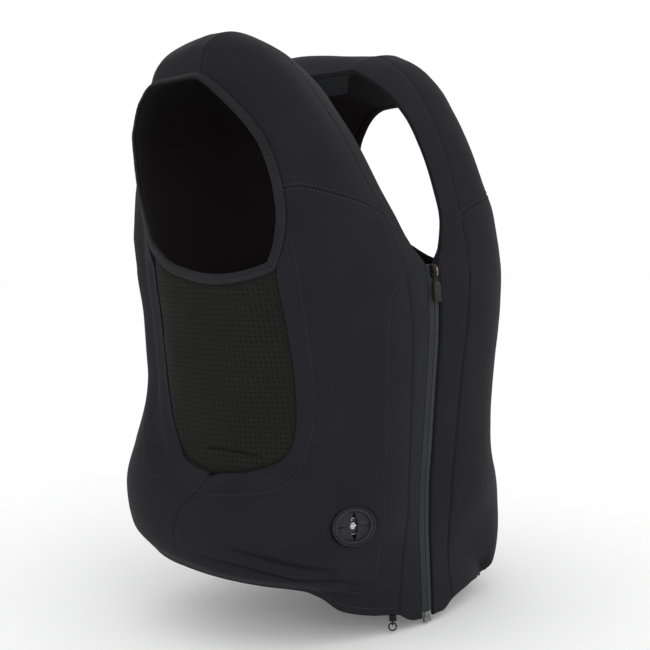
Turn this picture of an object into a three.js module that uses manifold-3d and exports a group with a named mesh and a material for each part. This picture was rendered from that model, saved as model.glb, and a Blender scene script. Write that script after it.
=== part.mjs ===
// Airbag vest: a sleeveless padded vest with a front zip, bound armholes and perforated sides.
// Millimetres, +Z up. The wearer faces -Y and +X is the wearer's left. The origin is the middle of
// the line where the vest sits on the shoulders, on the inside of the cloth.
import * as THREE from "three";
import { mergeVertices } from "three/addons/utils/BufferGeometryUtils.js";
import Module from "manifold-3d";

const wasm = await Module();
wasm.setup();

// Clearances
const SEAM_GAP = 0.25; // each panel's share of the gap along a seam
const FIT = 0.3; // gap between a small piece and its seat

// Body form: the inside of the vest, a stack of rounded sections
const FRONT_LENGTH = 626; // measured up the front, from the lowest hem to the shoulder ridge
const FRONT_POWER = 2.3; // roundness of the front half of a section, 2 is an ellipse
const BACK_POWER = 2.6; // the back is squarer
const NAPE_DIP = 11; // how far the shoulder ridge sinks towards the nape
const NAPE_REACH = 80; // half width of that dip
const NAPE_START = 0.9; // rise where the dip begins
const STOOP = 16; // how far the upper back falls away behind the nape
const STOOP_REACH = 150; // half width of that fall

// Padding
const CLOTH = 3.5; // thickness of a sewn edge
const FLANGE = 18; // flat border between a side mesh and the stitching round it
const FLANGE_SHARE = 0.2; // share of the padding under that stitching
const SIDE_ROUND = 58; // width over which the padding swells from a side edge
const BLADE_ROUND = 110; // and, gently, over the shoulder blade
const NECK_ROUND = 84; // and from the neck and the zip
const ZIP_SHARE = 0.25; // share of the padding left along the zip
const HEM_ROUND = { flat: 80, front: 34, back: 72 }; // and up from the hem, flat by the zip

// Armhole binding, side mesh and neck label
const BINDING_WIDTH = 9.6;
const BINDING_THICK = 4.4;
const MESH_THICK = 1.6;
const MESH_GAP = 0.9;
const MESH_DIP = { share: 0.42, rise: 0.547, front: 0.023, back: 0.053 }; // lowest point under the arm
const LABEL = { turn: 9, below: 0.9, drop: 21, back: 1.4, thick: 1.2 }; // hangs inside the back neck edge

// The left front hangs lower at the hem than the right: drop by distance from the zip
const LEFT_SAG = [
  { aside: 0, drop: 0 },
  { aside: 15, drop: 0 },
  { aside: 35, drop: 3 },
  { aside: 60, drop: 2 },
  { aside: 85, drop: 4 },
  { aside: 105, drop: 11 },
  { aside: 120, drop: 22 },
  { aside: 134, drop: 46 },
  { aside: 150, drop: 54 },
  { aside: 190, drop: 30 },
  { aside: 220, drop: 8 },
];

// Front zip
const ZIP = { bottom: 0.01, top: 0.573, chain: 6, tape: 4.9, sunk: 3, chainThick: 2.4, tapeThick: 1.1 };
const END_BOX = { width: 9, tall: 11, thick: 4.2 };
const SLIDER = { width: 9.4, tall: 13, thick: 1.6 };
const CROWN = { width: 2.2, proud: 4.3, bar: 1.3, top: 5.4, bottom: 4.5 }; // the arch that holds the pull
const PULL = { bar: 0.9, width: 10, arm: 1.8, armGap: 1.7, neck: 10, length: 30, thick: 3 };

// Small slider with a ring at the hem beside the right band seam
const FOOT = { share: 1.03, turn: -40, width: 7, deep: 4.4, tall: 6, eye: 1.8, eyeOuter: 2.7, hole: 1.45 };
const RING = { radius: 3.8, wire: 0.75 };

// Inflation-hose grommet on the right front
const GROMMET = { angle: 28.5, rise: 0.178, outer: 20.8, inner: 15.5, proud: 1.2, deep: 3.6 };
const GROMMET_OVAL = { wide: 1.1, tall: 0.9 }; // it is wider than tall
const SLIT = { wide: 2.6, fine: 1.2, short: 3 }; // cross slit in the rubber, short of its rim
const COUPLING = 9; // radius of the metal behind it

// Sections of the body, from the lowest hem to the shoulder ridge
const BODY = [
  { rise: 0.0, height: -570, width: 190, front: 150, back: 114, slope: 0 },
  { rise: 0.086, height: -516, width: 190, front: 147, back: 122, slope: 0 },
  { rise: 0.169, height: -465, width: 187, front: 140, back: 128, slope: 0 },
  { rise: 0.208, height: -440, width: 184, front: 139, back: 128, slope: 0 },
  { rise: 0.271, height: -401, width: 181, front: 142, back: 120, slope: 0 },
  { rise: 0.333, height: -362, width: 180, front: 145, back: 110, slope: 0 },
  { rise: 0.396, height: -323, width: 183, front: 148, back: 104, slope: 0 },
  { rise: 0.479, height: -271, width: 189, front: 151, back: 104, slope: 0 },
  { rise: 0.562, height: -219, width: 194, front: 148, back: 112, slope: 0 },
  { rise: 0.64, height: -171, width: 194, front: 138, back: 128, slope: 1 },
  { rise: 0.702, height: -136, width: 194, front: 122, back: 143, slope: 4 },
  { rise: 0.765, height: -101, width: 195, front: 104, back: 150, slope: 11 },
  { rise: 0.832, height: -66, width: 197, front: 81, back: 152, slope: 24 },
  { rise: 0.869, height: -48, width: 198, front: 66, back: 145, slope: 31 },
  { rise: 0.911, height: -30, width: 201, front: 47, back: 133, slope: 36 },
  { rise: 0.954, height: -14, width: 203, front: 25, back: 115, slope: 41 },
  { rise: 0.986, height: -4, width: 205, front: 8, back: 90, slope: 43 },
  { rise: 1.0, height: 0, width: 206, front: 0, back: 0, slope: 44 },
];

// Edges and seams as angles round the body, 0 at the zip, 90 at the wearer's left, 180 behind:
// the zip or neck edge, the band seam, and the side edges of the front and of the back
const PATTERN = [
  { rise: 0.0, neck: 1.6, band: 10.6, front: 83, back: 83 },
  { rise: 0.085, neck: 1.6, band: 8.4, front: 84.5, back: 84.5 },
  { rise: 0.138, neck: 1.6, band: 7.8, front: 87, back: 87 },
  { rise: 0.172, neck: 1.6, band: 7.6, front: 87, back: 87 },
  { rise: 0.204, neck: 1.6, band: 7.7, front: 85.3, back: 85.3 },
  { rise: 0.224, neck: 1.6, band: 7.9, front: 84, back: 84 },
  { rise: 0.24, neck: 1.6, band: 8.0, front: 81.6, back: 81.6 },
  { rise: 0.246, neck: 1.6, band: 8.05, front: 80.2, back: 80.2 },
  { rise: 0.252, neck: 1.6, band: 8.1, front: 78, back: 80.8 },
  { rise: 0.258, neck: 1.6, band: 8.1, front: 67, back: 86 },
  { rise: 0.266, neck: 1.6, band: 8.2, front: 59.5, back: 90.2 },
  { rise: 0.28, neck: 1.6, band: 8.3, front: 52, back: 92.8 },
  { rise: 0.302, neck: 1.6, band: 8.5, front: 48.6, back: 96.6 },
  { rise: 0.342, neck: 1.6, band: 8.7, front: 47.5, back: 103 },
  { rise: 0.4, neck: 1.6, band: 9.0, front: 48, back: 107.3 },
  { rise: 0.48, neck: 1.6, band: 9.7, front: 50, back: 107.3 },
  { rise: 0.57, neck: 1.6, band: 11.5, front: 51.9, back: 107.8 },
  { rise: 0.6, neck: 4.7, band: 13.0, front: 49.3, back: 110.2 },
  { rise: 0.665, neck: 8.9, band: 15.2, front: 45.9, back: 119.6 },
  { rise: 0.73, neck: 11.0, band: 17.8, front: 44.7, back: 124.8 },
  { rise: 0.79, neck: 12.2, band: 19.6, front: 44.8, back: 126.6 },
  { rise: 0.85, neck: 13.2, band: 21.3, front: 46.5, back: 128 },
  { rise: 0.91, neck: 12.5, band: 22.0, front: 48.8, back: 129 },
  { rise: 0.955, neck: 11.8, band: 22.2, front: 49.8, back: 129.9 },
  { rise: 1.0, neck: 11.6, band: 22.5, front: 51.8, back: 130.4 },
];

// Rise of the cloth hem, of the foot of the padding and of the chest seam, by angle
const LEVELS = [
  { angle: 0, hem: 0.0, foot: 0.072, chest: 0.63 },
  { angle: 5, hem: 0.003, foot: 0.071, chest: 0.635 },
  { angle: 10, hem: 0.018, foot: 0.07, chest: 0.64 },
  { angle: 20, hem: 0.027, foot: 0.068, chest: 0.658 },
  { angle: 31, hem: 0.042, foot: 0.069, chest: 0.673 },
  { angle: 38, hem: 0.066, foot: 0.073, chest: 0.688 },
  { angle: 44, hem: 0.078, foot: 0.08, chest: 0.7 },
  { angle: 60, hem: 0.087, foot: 0.088, chest: 0.702 },
  { angle: 88, hem: 0.099, foot: 0.099, chest: 0.702 },
  { angle: 125, hem: 0.112, foot: 0.112, chest: 0.702 },
  { angle: 180, hem: 0.112, foot: 0.112, chest: 0.702 },
];

// Full thickness of the padding by rise
const PADDING = [
  { rise: 0.0, front: 24, back: 27 },
  { rise: 0.17, front: 27, back: 31 },
  { rise: 0.21, front: 28, back: 32 },
  { rise: 0.27, front: 27, back: 29 },
  { rise: 0.4, front: 25, back: 25 },
  { rise: 0.57, front: 25, back: 24 },
  { rise: 0.7, front: 26, back: 24 },
  { rise: 0.85, front: 30, back: 27 },
  { rise: 0.95, front: 34, back: 33 },
  { rise: 1.0, front: 36, back: 36 },
];

// Rows and columns of the panels
const SIDE_HEM = 0.105;
const HIP = 0.218;
const CHEST = 0.702;
const MESH_FOOT = 0.2556;
const MESH_HEAD = 0.57;
const MESH_LAST = 0.5426; // row where the mesh's back edge passes the panel row at its head
const LOWER_ROWS = [
  SIDE_HEM, 0.117, 0.133, 0.155, 0.185, HIP, 0.24, 0.252, 0.258, 0.266, 0.28,
  0.302, 0.342, 0.4, 0.44, 0.48, 0.525, MESH_HEAD, 0.6, 0.63, 0.665, CHEST,
];
const UPPER_ROWS = [CHEST, 0.73, 0.765, 0.8, 0.835, 0.87, 0.905, 0.935, 0.96, 0.98, 1];
const BACK_TOP_ROWS = [0.73, 0.765, 0.8, 0.835, 0.87, 0.905, 0.935, 0.96, 0.975, 0.986, 0.993, 1];
const FRONT_COLUMNS = [1, 1.07, 1.16, 1.27, 1.39, 1.51, 1.63, 1.74, 1.84, 1.92, 2];
const BAND_COLUMNS = [0, 0.33, 0.67, 1];
const BACK_COLUMNS = [1, 0.93, 0.84, 0.73, 0.6, 0.47, 0.33, 0.194, 0.09, 0];
const MESH_COLUMNS = [0, 0.1, 0.22, 0.35, 0.48, 0.61, 0.74, 0.87, 1];
const NAPE_ANGLE = 9.4; // half angle of the back neck edge
const NAPE_RISE = 0.995; // rise of the back neck edge at its middle

const COLOURS = { shell: 0x25262b, band: 0x26272c, mesh: 0x232420, binding: 0x2e2e33, lining: 0x303238 };

// Smooth curve through one column of a table, with no overshoot between rows
function curve(table, along, column) {
  const xs = table.map((row) => row[along]);
  const ys = table.map((row) => row[column]);
  const last = xs.length - 1;
  const steps = xs.slice(1).map((x, i) => x - xs[i]);
  const grades = steps.map((step, i) => (ys[i + 1] - ys[i]) / step);
  const slopes = ys.map((_, i) => {
    if (i === 0) return grades[0];
    if (i === last) return grades[last - 1];
    if (grades[i - 1] * grades[i] <= 0) return 0;
    const before = 2 * steps[i] + steps[i - 1];
    const after = steps[i] + 2 * steps[i - 1];
    return (before + after) / (before / grades[i - 1] + after / grades[i]);
  });
  return (value) => {
    const x = THREE.MathUtils.clamp(value, xs[0], xs[last]);
    const i = Math.max(0, Math.min(last - 1, xs.findLastIndex((start) => start <= x)));
    const u = (x - xs[i]) / steps[i];
    const start = (1 + 2 * u) * (1 - u) ** 2 * ys[i] + u * (1 - u) ** 2 * slopes[i] * steps[i];
    return start + u * u * (3 - 2 * u) * ys[i + 1] + u * u * (u - 1) * slopes[i + 1] * steps[i];
  };
}

const bodyHeight = curve(BODY, "rise", "height");
const bodyWidth = curve(BODY, "rise", "width");
const bodyFront = curve(BODY, "rise", "front");
const bodyBack = curve(BODY, "rise", "back");
const bodySlope = curve(BODY, "rise", "slope");
const neckAngle = curve(PATTERN, "rise", "neck");
const bandAngle = curve(PATTERN, "rise", "band");
const frontAngle = curve(PATTERN, "rise", "front");
const backAngle = curve(PATTERN, "rise", "back");
const hemRise = curve(LEVELS, "angle", "hem");
const footRise = curve(LEVELS, "angle", "foot");
const chestRise = curve(LEVELS, "angle", "chest");
const frontPad = curve(PADDING, "rise", "front");
const backPad = curve(PADDING, "rise", "back");
const leftSag = curve(LEFT_SAG, "aside", "drop");

const lerp = THREE.MathUtils.lerp;
const ramp = (value, from, to) => THREE.MathUtils.clamp((value - from) / (to - from), 0, 1);
const swell = (share) => Math.sqrt(1 - (1 - THREE.MathUtils.clamp(share, 0, 1)) ** 2);

// Point on the inside of the vest
function wall(angle, rise) {
  const turn = THREE.MathUtils.degToRad(angle);
  const ahead = Math.cos(turn);
  const side = Math.sin(turn);
  const power = 2 / (ahead > 0 ? FRONT_POWER : BACK_POWER);
  const across = Math.sign(side) * Math.abs(side) ** power;
  const along = Math.sign(ahead) * Math.abs(ahead) ** power;
  const x = bodyWidth(rise) * across;
  const dip = NAPE_DIP * ramp(rise, NAPE_START, 1) * Math.max(0, 1 - (x / NAPE_REACH) ** 2) ** 2;
  const fall = ahead > 0 ? 0 : STOOP * ramp(rise, 0.86, 0.965) * (1 - ramp(rise, 0.965, 1));
  const stoop = fall * Math.max(0, 1 - (x / STOOP_REACH) ** 2) ** 2;
  const depth = ahead > 0 ? bodyFront(rise) : bodyBack(rise);
  return new THREE.Vector3(x, -depth * along, bodyHeight(rise) - bodySlope(rise) * across ** 2 - dip - stoop);
}

// Direction out of the vest at that point; over the ridge it is the mean of front and back
function outward(angle, rise) {
  const around = wall(angle + 0.2, rise).sub(wall(angle - 0.2, rise));
  const up =
    rise > 0.999
      ? new THREE.Vector3(0, Math.sign(Math.cos(THREE.MathUtils.degToRad(angle))), 0)
      : wall(angle, rise + 0.001).sub(wall(angle, rise - 0.001));
  return around.cross(up).normalize();
}

// Edge lines of the left half, for measuring how far a point lies from them
const steps = (from, to, count) => Array.from({ length: count + 1 }, (_, i) => lerp(from, to, i / count));
const SIDE_RISES = [...steps(0.252, 0.3, 60), ...steps(0.302, 1, 110)];
const SIDE_LINE = SIDE_RISES.flatMap((rise) => [wall(frontAngle(rise), rise), wall(backAngle(rise), rise)]);
const NAPE_LINE = steps(0, NAPE_ANGLE, 12).map((turn) => wall(180 - turn, napeRise(180 - turn)));
const NECK_LINE = [...steps(0, 1, 140).map((rise) => wall(neckAngle(rise), rise)), ...NAPE_LINE];
const distance = (point, line) => Math.min(...line.map((spot) => spot.distanceTo(point)));

// Rise of the back panel's top edge: the ridge, or the neck edge behind the head
function napeRise(angle) {
  const turn = Math.abs(180 - angle) / NAPE_ANGLE;
  return turn < 1 ? lerp(NAPE_RISE, 1, turn ** 2) : 1;
}

// Thickness of the padded panel at a point
function thickness(angle, rise) {
  const turn = angle > 180 ? 360 - angle : angle;
  const spot = wall(turn, rise);
  const backness = THREE.MathUtils.smoothstep(turn, 60, 110);
  const pad = lerp(frontPad(rise), backPad(rise), backness);
  const flange = FLANGE * (1 - ramp(rise, 0.57, 0.66));
  const flat = FLANGE_SHARE * (flange / FLANGE);
  const reach = distance(spot, SIDE_LINE);
  const border = flange > 0 ? flat * lerp(0.4, 1, Math.min(1, reach / flange)) : 0;
  const blade = backness * ramp(rise, 0.62, 0.74) * (1 - ramp(rise, 0.965, 0.996));
  const gentle = THREE.MathUtils.smoothstep(reach, 0, BLADE_ROUND);
  const side = border + (1 - flat) * lerp(swell((reach - flange) / SIDE_ROUND), gentle, blade);
  const hemRound = lerp(HEM_ROUND.front, HEM_ROUND.back, backness);
  const lift = (rise - footRise(turn)) * FRONT_LENGTH;
  const gradual = THREE.MathUtils.smoothstep(lift, 0, HEM_ROUND.flat);
  const foot = lerp(gradual, swell(lift / hemRound), THREE.MathUtils.smoothstep(turn, 16, 44));
  const least = ZIP_SHARE * (1 - ramp(rise, 0.55, 0.62)) * (1 - backness);
  const away = Math.min(1, distance(spot, NECK_LINE) / NECK_ROUND);
  const neck = lerp(least, 1, Math.sin((away * Math.PI) / 2));
  return CLOTH + (pad - CLOTH) * side * foot * neck;
}

// Closed solid between two grids of points
function gridSolid(inner, outer) {
  const rows = inner.length;
  const columns = inner[0].length;
  const points = [...inner.flat(), ...outer.flat()];
  const triangles = [];
  const at = (layer, i, j) => (layer * rows + i) * columns + j;
  const quad = (a, b, c, d) => triangles.push(a, b, c, a, c, d);
  for (let i = 0; i + 1 < rows; i++) {
    for (let j = 0; j + 1 < columns; j++) {
      quad(at(1, i, j), at(1, i, j + 1), at(1, i + 1, j + 1), at(1, i + 1, j));
      quad(at(0, i, j), at(0, i + 1, j), at(0, i + 1, j + 1), at(0, i, j + 1));
    }
    quad(at(0, i + 1, 0), at(0, i, 0), at(1, i, 0), at(1, i + 1, 0));
    const end = columns - 1;
    quad(at(0, i, end), at(0, i + 1, end), at(1, i + 1, end), at(1, i, end));
  }
  for (let j = 0; j + 1 < columns; j++) {
    quad(at(0, 0, j), at(0, 0, j + 1), at(1, 0, j + 1), at(1, 0, j));
    quad(at(0, rows - 1, j + 1), at(0, rows - 1, j), at(1, rows - 1, j), at(1, rows - 1, j + 1));
  }
  return meshGeometry(points, triangles);
}

function meshGeometry(points, triangles) {
  const geometry = new THREE.BufferGeometry().setFromPoints(points);
  geometry.setIndex(triangles);
  geometry.computeVertexNormals();
  return geometry;
}

// The same solid on the wearer's right
function mirrored(geometry) {
  const copy = geometry.clone().scale(-1, 1, 1);
  const index = copy.index.array;
  for (let i = 0; i < index.length; i += 3) [index[i + 1], index[i + 2]] = [index[i + 2], index[i + 1]];
  copy.computeVertexNormals();
  return copy;
}

// Lowers the wearer's left front towards the hem
function sagged(geometry) {
  const smooth = THREE.MathUtils.smoothstep;
  const place = geometry.attributes.position;
  for (let i = 0; i < place.count; i++) {
    const front = smooth(-place.getY(i), -40, 60);
    const low = smooth(-place.getZ(i), 460, 545);
    place.setZ(i, place.getZ(i) - leftSag(place.getX(i)) * front * low);
  }
  geometry.computeVertexNormals();
  return geometry;
}

// Draws the rim of a grid in by the seam gap
function pulledIn(grid, gap) {
  const towards = (from, to) => from.clone().add(to.clone().sub(from).setLength(gap));
  const tall = grid.map((row) => [
    towards(row[0], row[1]),
    ...row.slice(1, -1),
    towards(row.at(-1), row.at(-2)),
  ]);
  const first = tall[0].map((point, j) => towards(point, tall[1][j]));
  const final = tall.at(-1).map((point, j) => towards(point, tall.at(-2)[j]));
  return [first, ...tall.slice(1, -1), final];
}

// Padded panel over a grid of spots, each an angle and a rise
function sewnPanel(spots) {
  const inner = spots.map((row) => row.map(([angle, rise]) => wall(angle, rise)));
  const over = ([angle, rise]) =>
    wall(angle, rise).addScaledVector(outward(angle, rise), thickness(angle, rise));
  const outer = spots.map((row) => row.map(over));
  return gridSolid(pulledIn(inner, SEAM_GAP), pulledIn(outer, SEAM_GAP));
}

// Rows under the hip are spread between it and the hem
const hipRise = (angle, level) => {
  const turn = angle > 180 ? 360 - angle : angle;
  return lerp(hemRise(turn), HIP, ramp(level, SIDE_HEM, HIP));
};

// Spot on the left front: share 0 at the zip or neck, 1 at the band seam, 2 at the side edge
function frontSpot(share, level) {
  let rise = level;
  let angle = 0;
  for (let pass = 0; pass < 5; pass++) {
    angle =
      share < 1
        ? lerp(neckAngle(rise), bandAngle(rise), share)
        : lerp(bandAngle(rise), frontAngle(rise), share - 1);
    if (level < HIP) rise = hipRise(angle, level);
    else if (level < CHEST) rise = lerp(HIP, chestRise(angle), ramp(level, HIP, CHEST));
    else rise = lerp(chestRise(angle), 1, ramp(level, CHEST, 1));
  }
  return [angle, rise];
}

// Spot on the back: share 1 at the left side edge, 0 in the middle, -1 at the right side edge
function backSpot(share, level) {
  let rise = level;
  let angle = 180;
  for (let pass = 0; pass < 5; pass++) {
    angle = 180 - share * (180 - backAngle(rise));
    rise = level < HIP ? hipRise(angle, level) : lerp(HIP, napeRise(angle), ramp(level, HIP, 1));
  }
  return [angle, rise];
}

// Rise of the mesh's top edge under the arm, by the share of the way from front to back
function meshTop(share) {
  const along = (share - MESH_DIP.share) / (share < MESH_DIP.share ? MESH_DIP.share : 1 - MESH_DIP.share);
  return MESH_DIP.rise + (along < 0 ? MESH_DIP.front : MESH_DIP.back) * along ** 2;
}

function meshSpot(share, level) {
  const rise = lerp(MESH_FOOT, meshTop(share), ramp(level, MESH_FOOT, MESH_HEAD));
  return [lerp(frontAngle(rise), backAngle(rise), share), rise];
}

const gridOf = (columns, rows, spot) => rows.map((level) => columns.map((share) => spot(share, level)));

const frontPanel = () => sewnPanel(gridOf(FRONT_COLUMNS, LOWER_ROWS, frontSpot));
const yoke = () => sewnPanel(gridOf(FRONT_COLUMNS, UPPER_ROWS, frontSpot));
const frontBand = () => sewnPanel(gridOf(BAND_COLUMNS, [...LOWER_ROWS, ...UPPER_ROWS.slice(1)], frontSpot));

function backPanel() {
  const columns = [...BACK_COLUMNS, ...BACK_COLUMNS.slice(0, -1).reverse().map((share) => -share)];
  return sewnPanel(gridOf(columns, [...LOWER_ROWS, ...BACK_TOP_ROWS], backSpot));
}

function sideMesh() {
  const between = LOWER_ROWS.filter((level) => level > MESH_FOOT && level < MESH_HEAD);
  const rows = [MESH_FOOT, ...between, MESH_LAST, MESH_HEAD];
  const spots = gridOf(MESH_COLUMNS, rows, meshSpot);
  const inner = spots.map((row) => row.map(([angle, rise]) => wall(angle, rise)));
  const outer = spots.map((row) =>
    row.map(([angle, rise]) => wall(angle, rise).addScaledVector(outward(angle, rise), MESH_THICK)),
  );
  return gridSolid(pulledIn(inner, MESH_GAP), pulledIn(outer, MESH_GAP));
}

// Thin label that hangs inside the back neck edge
function neckLabel() {
  const edge = steps(180 - LABEL.turn, 180 + LABEL.turn, 8).map((angle) => wall(angle, napeRise(angle)));
  const layer = (back) =>
    [LABEL.below + LABEL.drop, LABEL.below].map((drop) =>
      edge.map((spot) => spot.clone().add(new THREE.Vector3(0, back + 0.12 * drop, -drop))),
    );
  return gridSolid(layer(LABEL.back), layer(LABEL.back + LABEL.thick));
}

// Spots round the left armhole: up the front edge, down the back edge and forward over the mesh
function armholeSpots() {
  const front = [...LOWER_ROWS.filter((level) => level >= MESH_HEAD), ...UPPER_ROWS.slice(1)];
  const back = BACK_TOP_ROWS.slice(0, -1).reverse();
  const low = LOWER_ROWS.filter((level) => level >= 0.6).reverse();
  return [
    ...front.map((level) => frontSpot(2, level)),
    ...[...back, ...low].map((level) => backSpot(1, level)),
    ...MESH_COLUMNS.slice(1, -1).reverse().map((share) => meshSpot(share, MESH_HEAD)),
  ];
}

// Folded binding that edges the armhole, lying just inside the line of the panels
function armholeBinding() {
  const spots = armholeSpots();
  const line = spots.map(([angle, rise]) => wall(angle, rise));
  const middle = line.reduce((sum, point) => sum.add(point), new THREE.Vector3()).divideScalar(line.length);
  const section = [
    [FIT, 0],
    [FIT, 0.8 * BINDING_THICK],
    [0.2 * BINDING_WIDTH, BINDING_THICK],
    [0.8 * BINDING_WIDTH, BINDING_THICK],
    [BINDING_WIDTH, 0.7 * BINDING_THICK],
    [BINDING_WIDTH, 0.2 * BINDING_THICK],
    [0.85 * BINDING_WIDTH, -0.1 * BINDING_THICK],
    [0.2 * BINDING_WIDTH, -0.1 * BINDING_THICK],
  ];
  const count = line.length;
  const sides = section.length;
  const points = line.flatMap((point, i) => {
    const ahead = line[(i + 1) % count].clone().sub(line.at(i - 1)).normalize();
    const out = outward(...spots[i]);
    const inside = ahead.clone().cross(out).normalize();
    if (inside.dot(middle.clone().sub(point)) < 0) inside.negate();
    const corner = ([over, up]) => point.clone().addScaledVector(inside, over).addScaledVector(out, up);
    return section.map(corner);
  });
  const triangles = [];
  for (let i = 0; i < count; i++) {
    const next = (i + 1) % count;
    for (let j = 0; j < sides; j++) {
      const k = (j + 1) % sides;
      const [a, b, c, d] = [i * sides + j, i * sides + k, next * sides + k, next * sides + j];
      triangles.push(a, b, c, a, c, d);
    }
  }
  return meshGeometry(points, triangles);
}

// Height of the zip over the inside of the vest: sunk a little below the band edges beside it
const zipHeight = (rise) => thickness(neckAngle(rise), rise) - ZIP.sunk;

// Strip along the zip from x to x, between two heights over that line
function zipStrip(from, to, low, thick) {
  const rises = steps(ZIP.bottom, ZIP.top, 26);
  const spot = (x, rise, up) =>
    wall(0, rise).addScaledVector(outward(0, rise), zipHeight(rise) + up).add(new THREE.Vector3(x, 0, 0));
  const layer = (up) => rises.map((rise) => [from, to].map((x) => spot(x, rise, up)));
  return gridSolid(layer(low), layer(low + thick));
}

// Solids joined or cut
function solidOf(geometry) {
  const bare = geometry.index ? geometry.clone() : mergeVertices(geometry.clone());
  for (const name of Object.keys(bare.attributes)) if (name !== "position") bare.deleteAttribute(name);
  const merged = mergeVertices(bare, 1e-3);
  const vertProperties = new Float32Array(merged.attributes.position.array);
  const triVerts = new Uint32Array(merged.index.array);
  return new wasm.Manifold(new wasm.Mesh({ numProp: 3, vertProperties, triVerts }));
}

function geometryOf(solid) {
  const { vertProperties, triVerts } = solid.getMesh();
  const geometry = new THREE.BufferGeometry();
  geometry.setAttribute("position", new THREE.BufferAttribute(vertProperties, 3));
  geometry.setIndex(new THREE.BufferAttribute(triVerts, 1));
  geometry.computeVertexNormals();
  return geometry;
}

const joined = (...parts) => geometryOf(parts.map(solidOf).reduce((whole, part) => whole.add(part)));

function cut(geometry, ...tools) {
  return geometryOf(tools.map(solidOf).reduce((rest, tool) => rest.subtract(tool), solidOf(geometry)));
}

function block(x0, x1, y0, y1, z0, z1) {
  const box = new THREE.BoxGeometry(x1 - x0, y1 - y0, z1 - z0);
  return box.translate((x0 + x1) / 2, (y0 + y1) / 2, (z0 + z1) / 2);
}

// Solid of revolution about Z from a closed list of radius and height pairs
function turned(profile, sides) {
  const closed = [...profile, profile[0]].map(([radius, z]) => new THREE.Vector2(radius, z));
  return new THREE.LatheGeometry(closed, sides).rotateX(Math.PI / 2);
}

function disc(radius, from, to, sides) {
  const round = new THREE.CylinderGeometry(radius, radius, to - from, sides).rotateX(Math.PI / 2);
  return round.translate(0, 0, (from + to) / 2);
}

// Zip slider in its own frame: X across, -Y out of the vest, Z up the zip, zero at the hinge bar
const hingeHeight = SLIDER.thick + (CROWN.proud - CROWN.bar) / 2;
function zipSlider() {
  const half = SLIDER.width / 2;
  const crown = CROWN.width / 2;
  const face = hingeHeight - SLIDER.thick;
  const peak = face - CROWN.proud;
  const plate = block(-half, half, face, hingeHeight, 0.5 - SLIDER.tall / 2, 0.5 + SLIDER.tall / 2);
  const arch = block(-crown, crown, peak, face + 0.5, -CROWN.bottom, CROWN.top);
  const [low, high] = [CROWN.bar - CROWN.bottom, CROWN.top - CROWN.bar];
  const space = block(-half, half, peak + CROWN.bar, face, low, high);
  return joined(plate, cut(arch, space));
}

// Pull tab hanging from the hinge bar, in the same frame
function zipPull() {
  const inner = PULL.armGap;
  const outer = PULL.armGap + PULL.arm;
  const bar = new THREE.CylinderGeometry(PULL.bar, PULL.bar, 2 * outer, 8).rotateZ(Math.PI / 2);
  const arm = (from, to) => block(from, to, -PULL.bar, PULL.bar, -PULL.neck - 1, 0.6);
  const arms = [arm(-outer, -inner), arm(inner, outer)];
  const outline = new THREE.Shape();
  const half = PULL.width / 2;
  outline.moveTo(-outer, -PULL.neck);
  outline.lineTo(outer, -PULL.neck);
  outline.lineTo(half, -PULL.neck - 3);
  outline.lineTo(half, -PULL.length + 2);
  outline.lineTo(half - 2, -PULL.length);
  outline.lineTo(2 - half, -PULL.length);
  outline.lineTo(-half, -PULL.length + 2);
  outline.lineTo(-half, -PULL.neck - 3);
  outline.closePath();
  const grip = new THREE.ExtrudeGeometry(outline, { depth: PULL.thick, bevelEnabled: false });
  grip.rotateX(Math.PI / 2).translate(0, PULL.thick / 2, 0);
  return joined(bar, ...arms, grip);
}

// Small slider with an eye below it, zero at the middle of the eye
function footSlider() {
  const [half, deep] = [FOOT.width / 2, FOOT.deep / 2];
  const body = block(-half, half, -deep, deep, FOOT.hole + 0.6, FOOT.hole + FOOT.tall);
  const across = (radius, long) => new THREE.CylinderGeometry(radius, radius, long, 14).rotateZ(Math.PI / 2);
  const eye = joined(body, across(FOOT.eyeOuter, FOOT.eye));
  return cut(eye, across(FOOT.hole, 3 * FOOT.eye));
}

// Materials and nodes
const vest = new THREE.Group();
function add(name, geometry, color, roughness, metalness = 0, parent = vest) {
  const mesh = new THREE.Mesh(geometry, new THREE.MeshStandardMaterial({ color, roughness, metalness }));
  mesh.name = name;
  parent.add(mesh);
  return mesh;
}

function addPair(name, geometry, color, roughness) {
  add("right_" + name, mirrored(geometry), color, roughness);
  add("left_" + name, sagged(geometry), color, roughness);
}

// Group whose -Y axis points out of the vest and whose Z axis runs up it, at a height over the inside
function seat(angle, rise, up, side = 1) {
  const out = outward(angle, rise);
  const spot = wall(angle, rise).addScaledVector(out, up);
  const flip = new THREE.Vector3(side, 1, 1);
  out.multiply(flip);
  const group = new THREE.Group();
  group.position.copy(spot.multiply(flip));
  const back = out.clone().negate();
  const across = back.clone().cross(new THREE.Vector3(0, 0, 1)).normalize();
  const axes = new THREE.Matrix4().makeBasis(across, back, across.clone().cross(back));
  group.quaternion.setFromRotationMatrix(axes);
  vest.add(group);
  return group;
}

// Grommet axis along +Z before it is made oval and turned to point out of the vest
const turnOut = (geometry) => geometry.scale(GROMMET_OVAL.wide, GROMMET_OVAL.tall, 1).rotateX(Math.PI / 2);
const grommetTop = thickness(GROMMET.angle, GROMMET.rise);
const grommetSeat = seat(GROMMET.angle, GROMMET.rise, grommetTop, -1);
grommetSeat.updateMatrixWorld();

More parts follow.
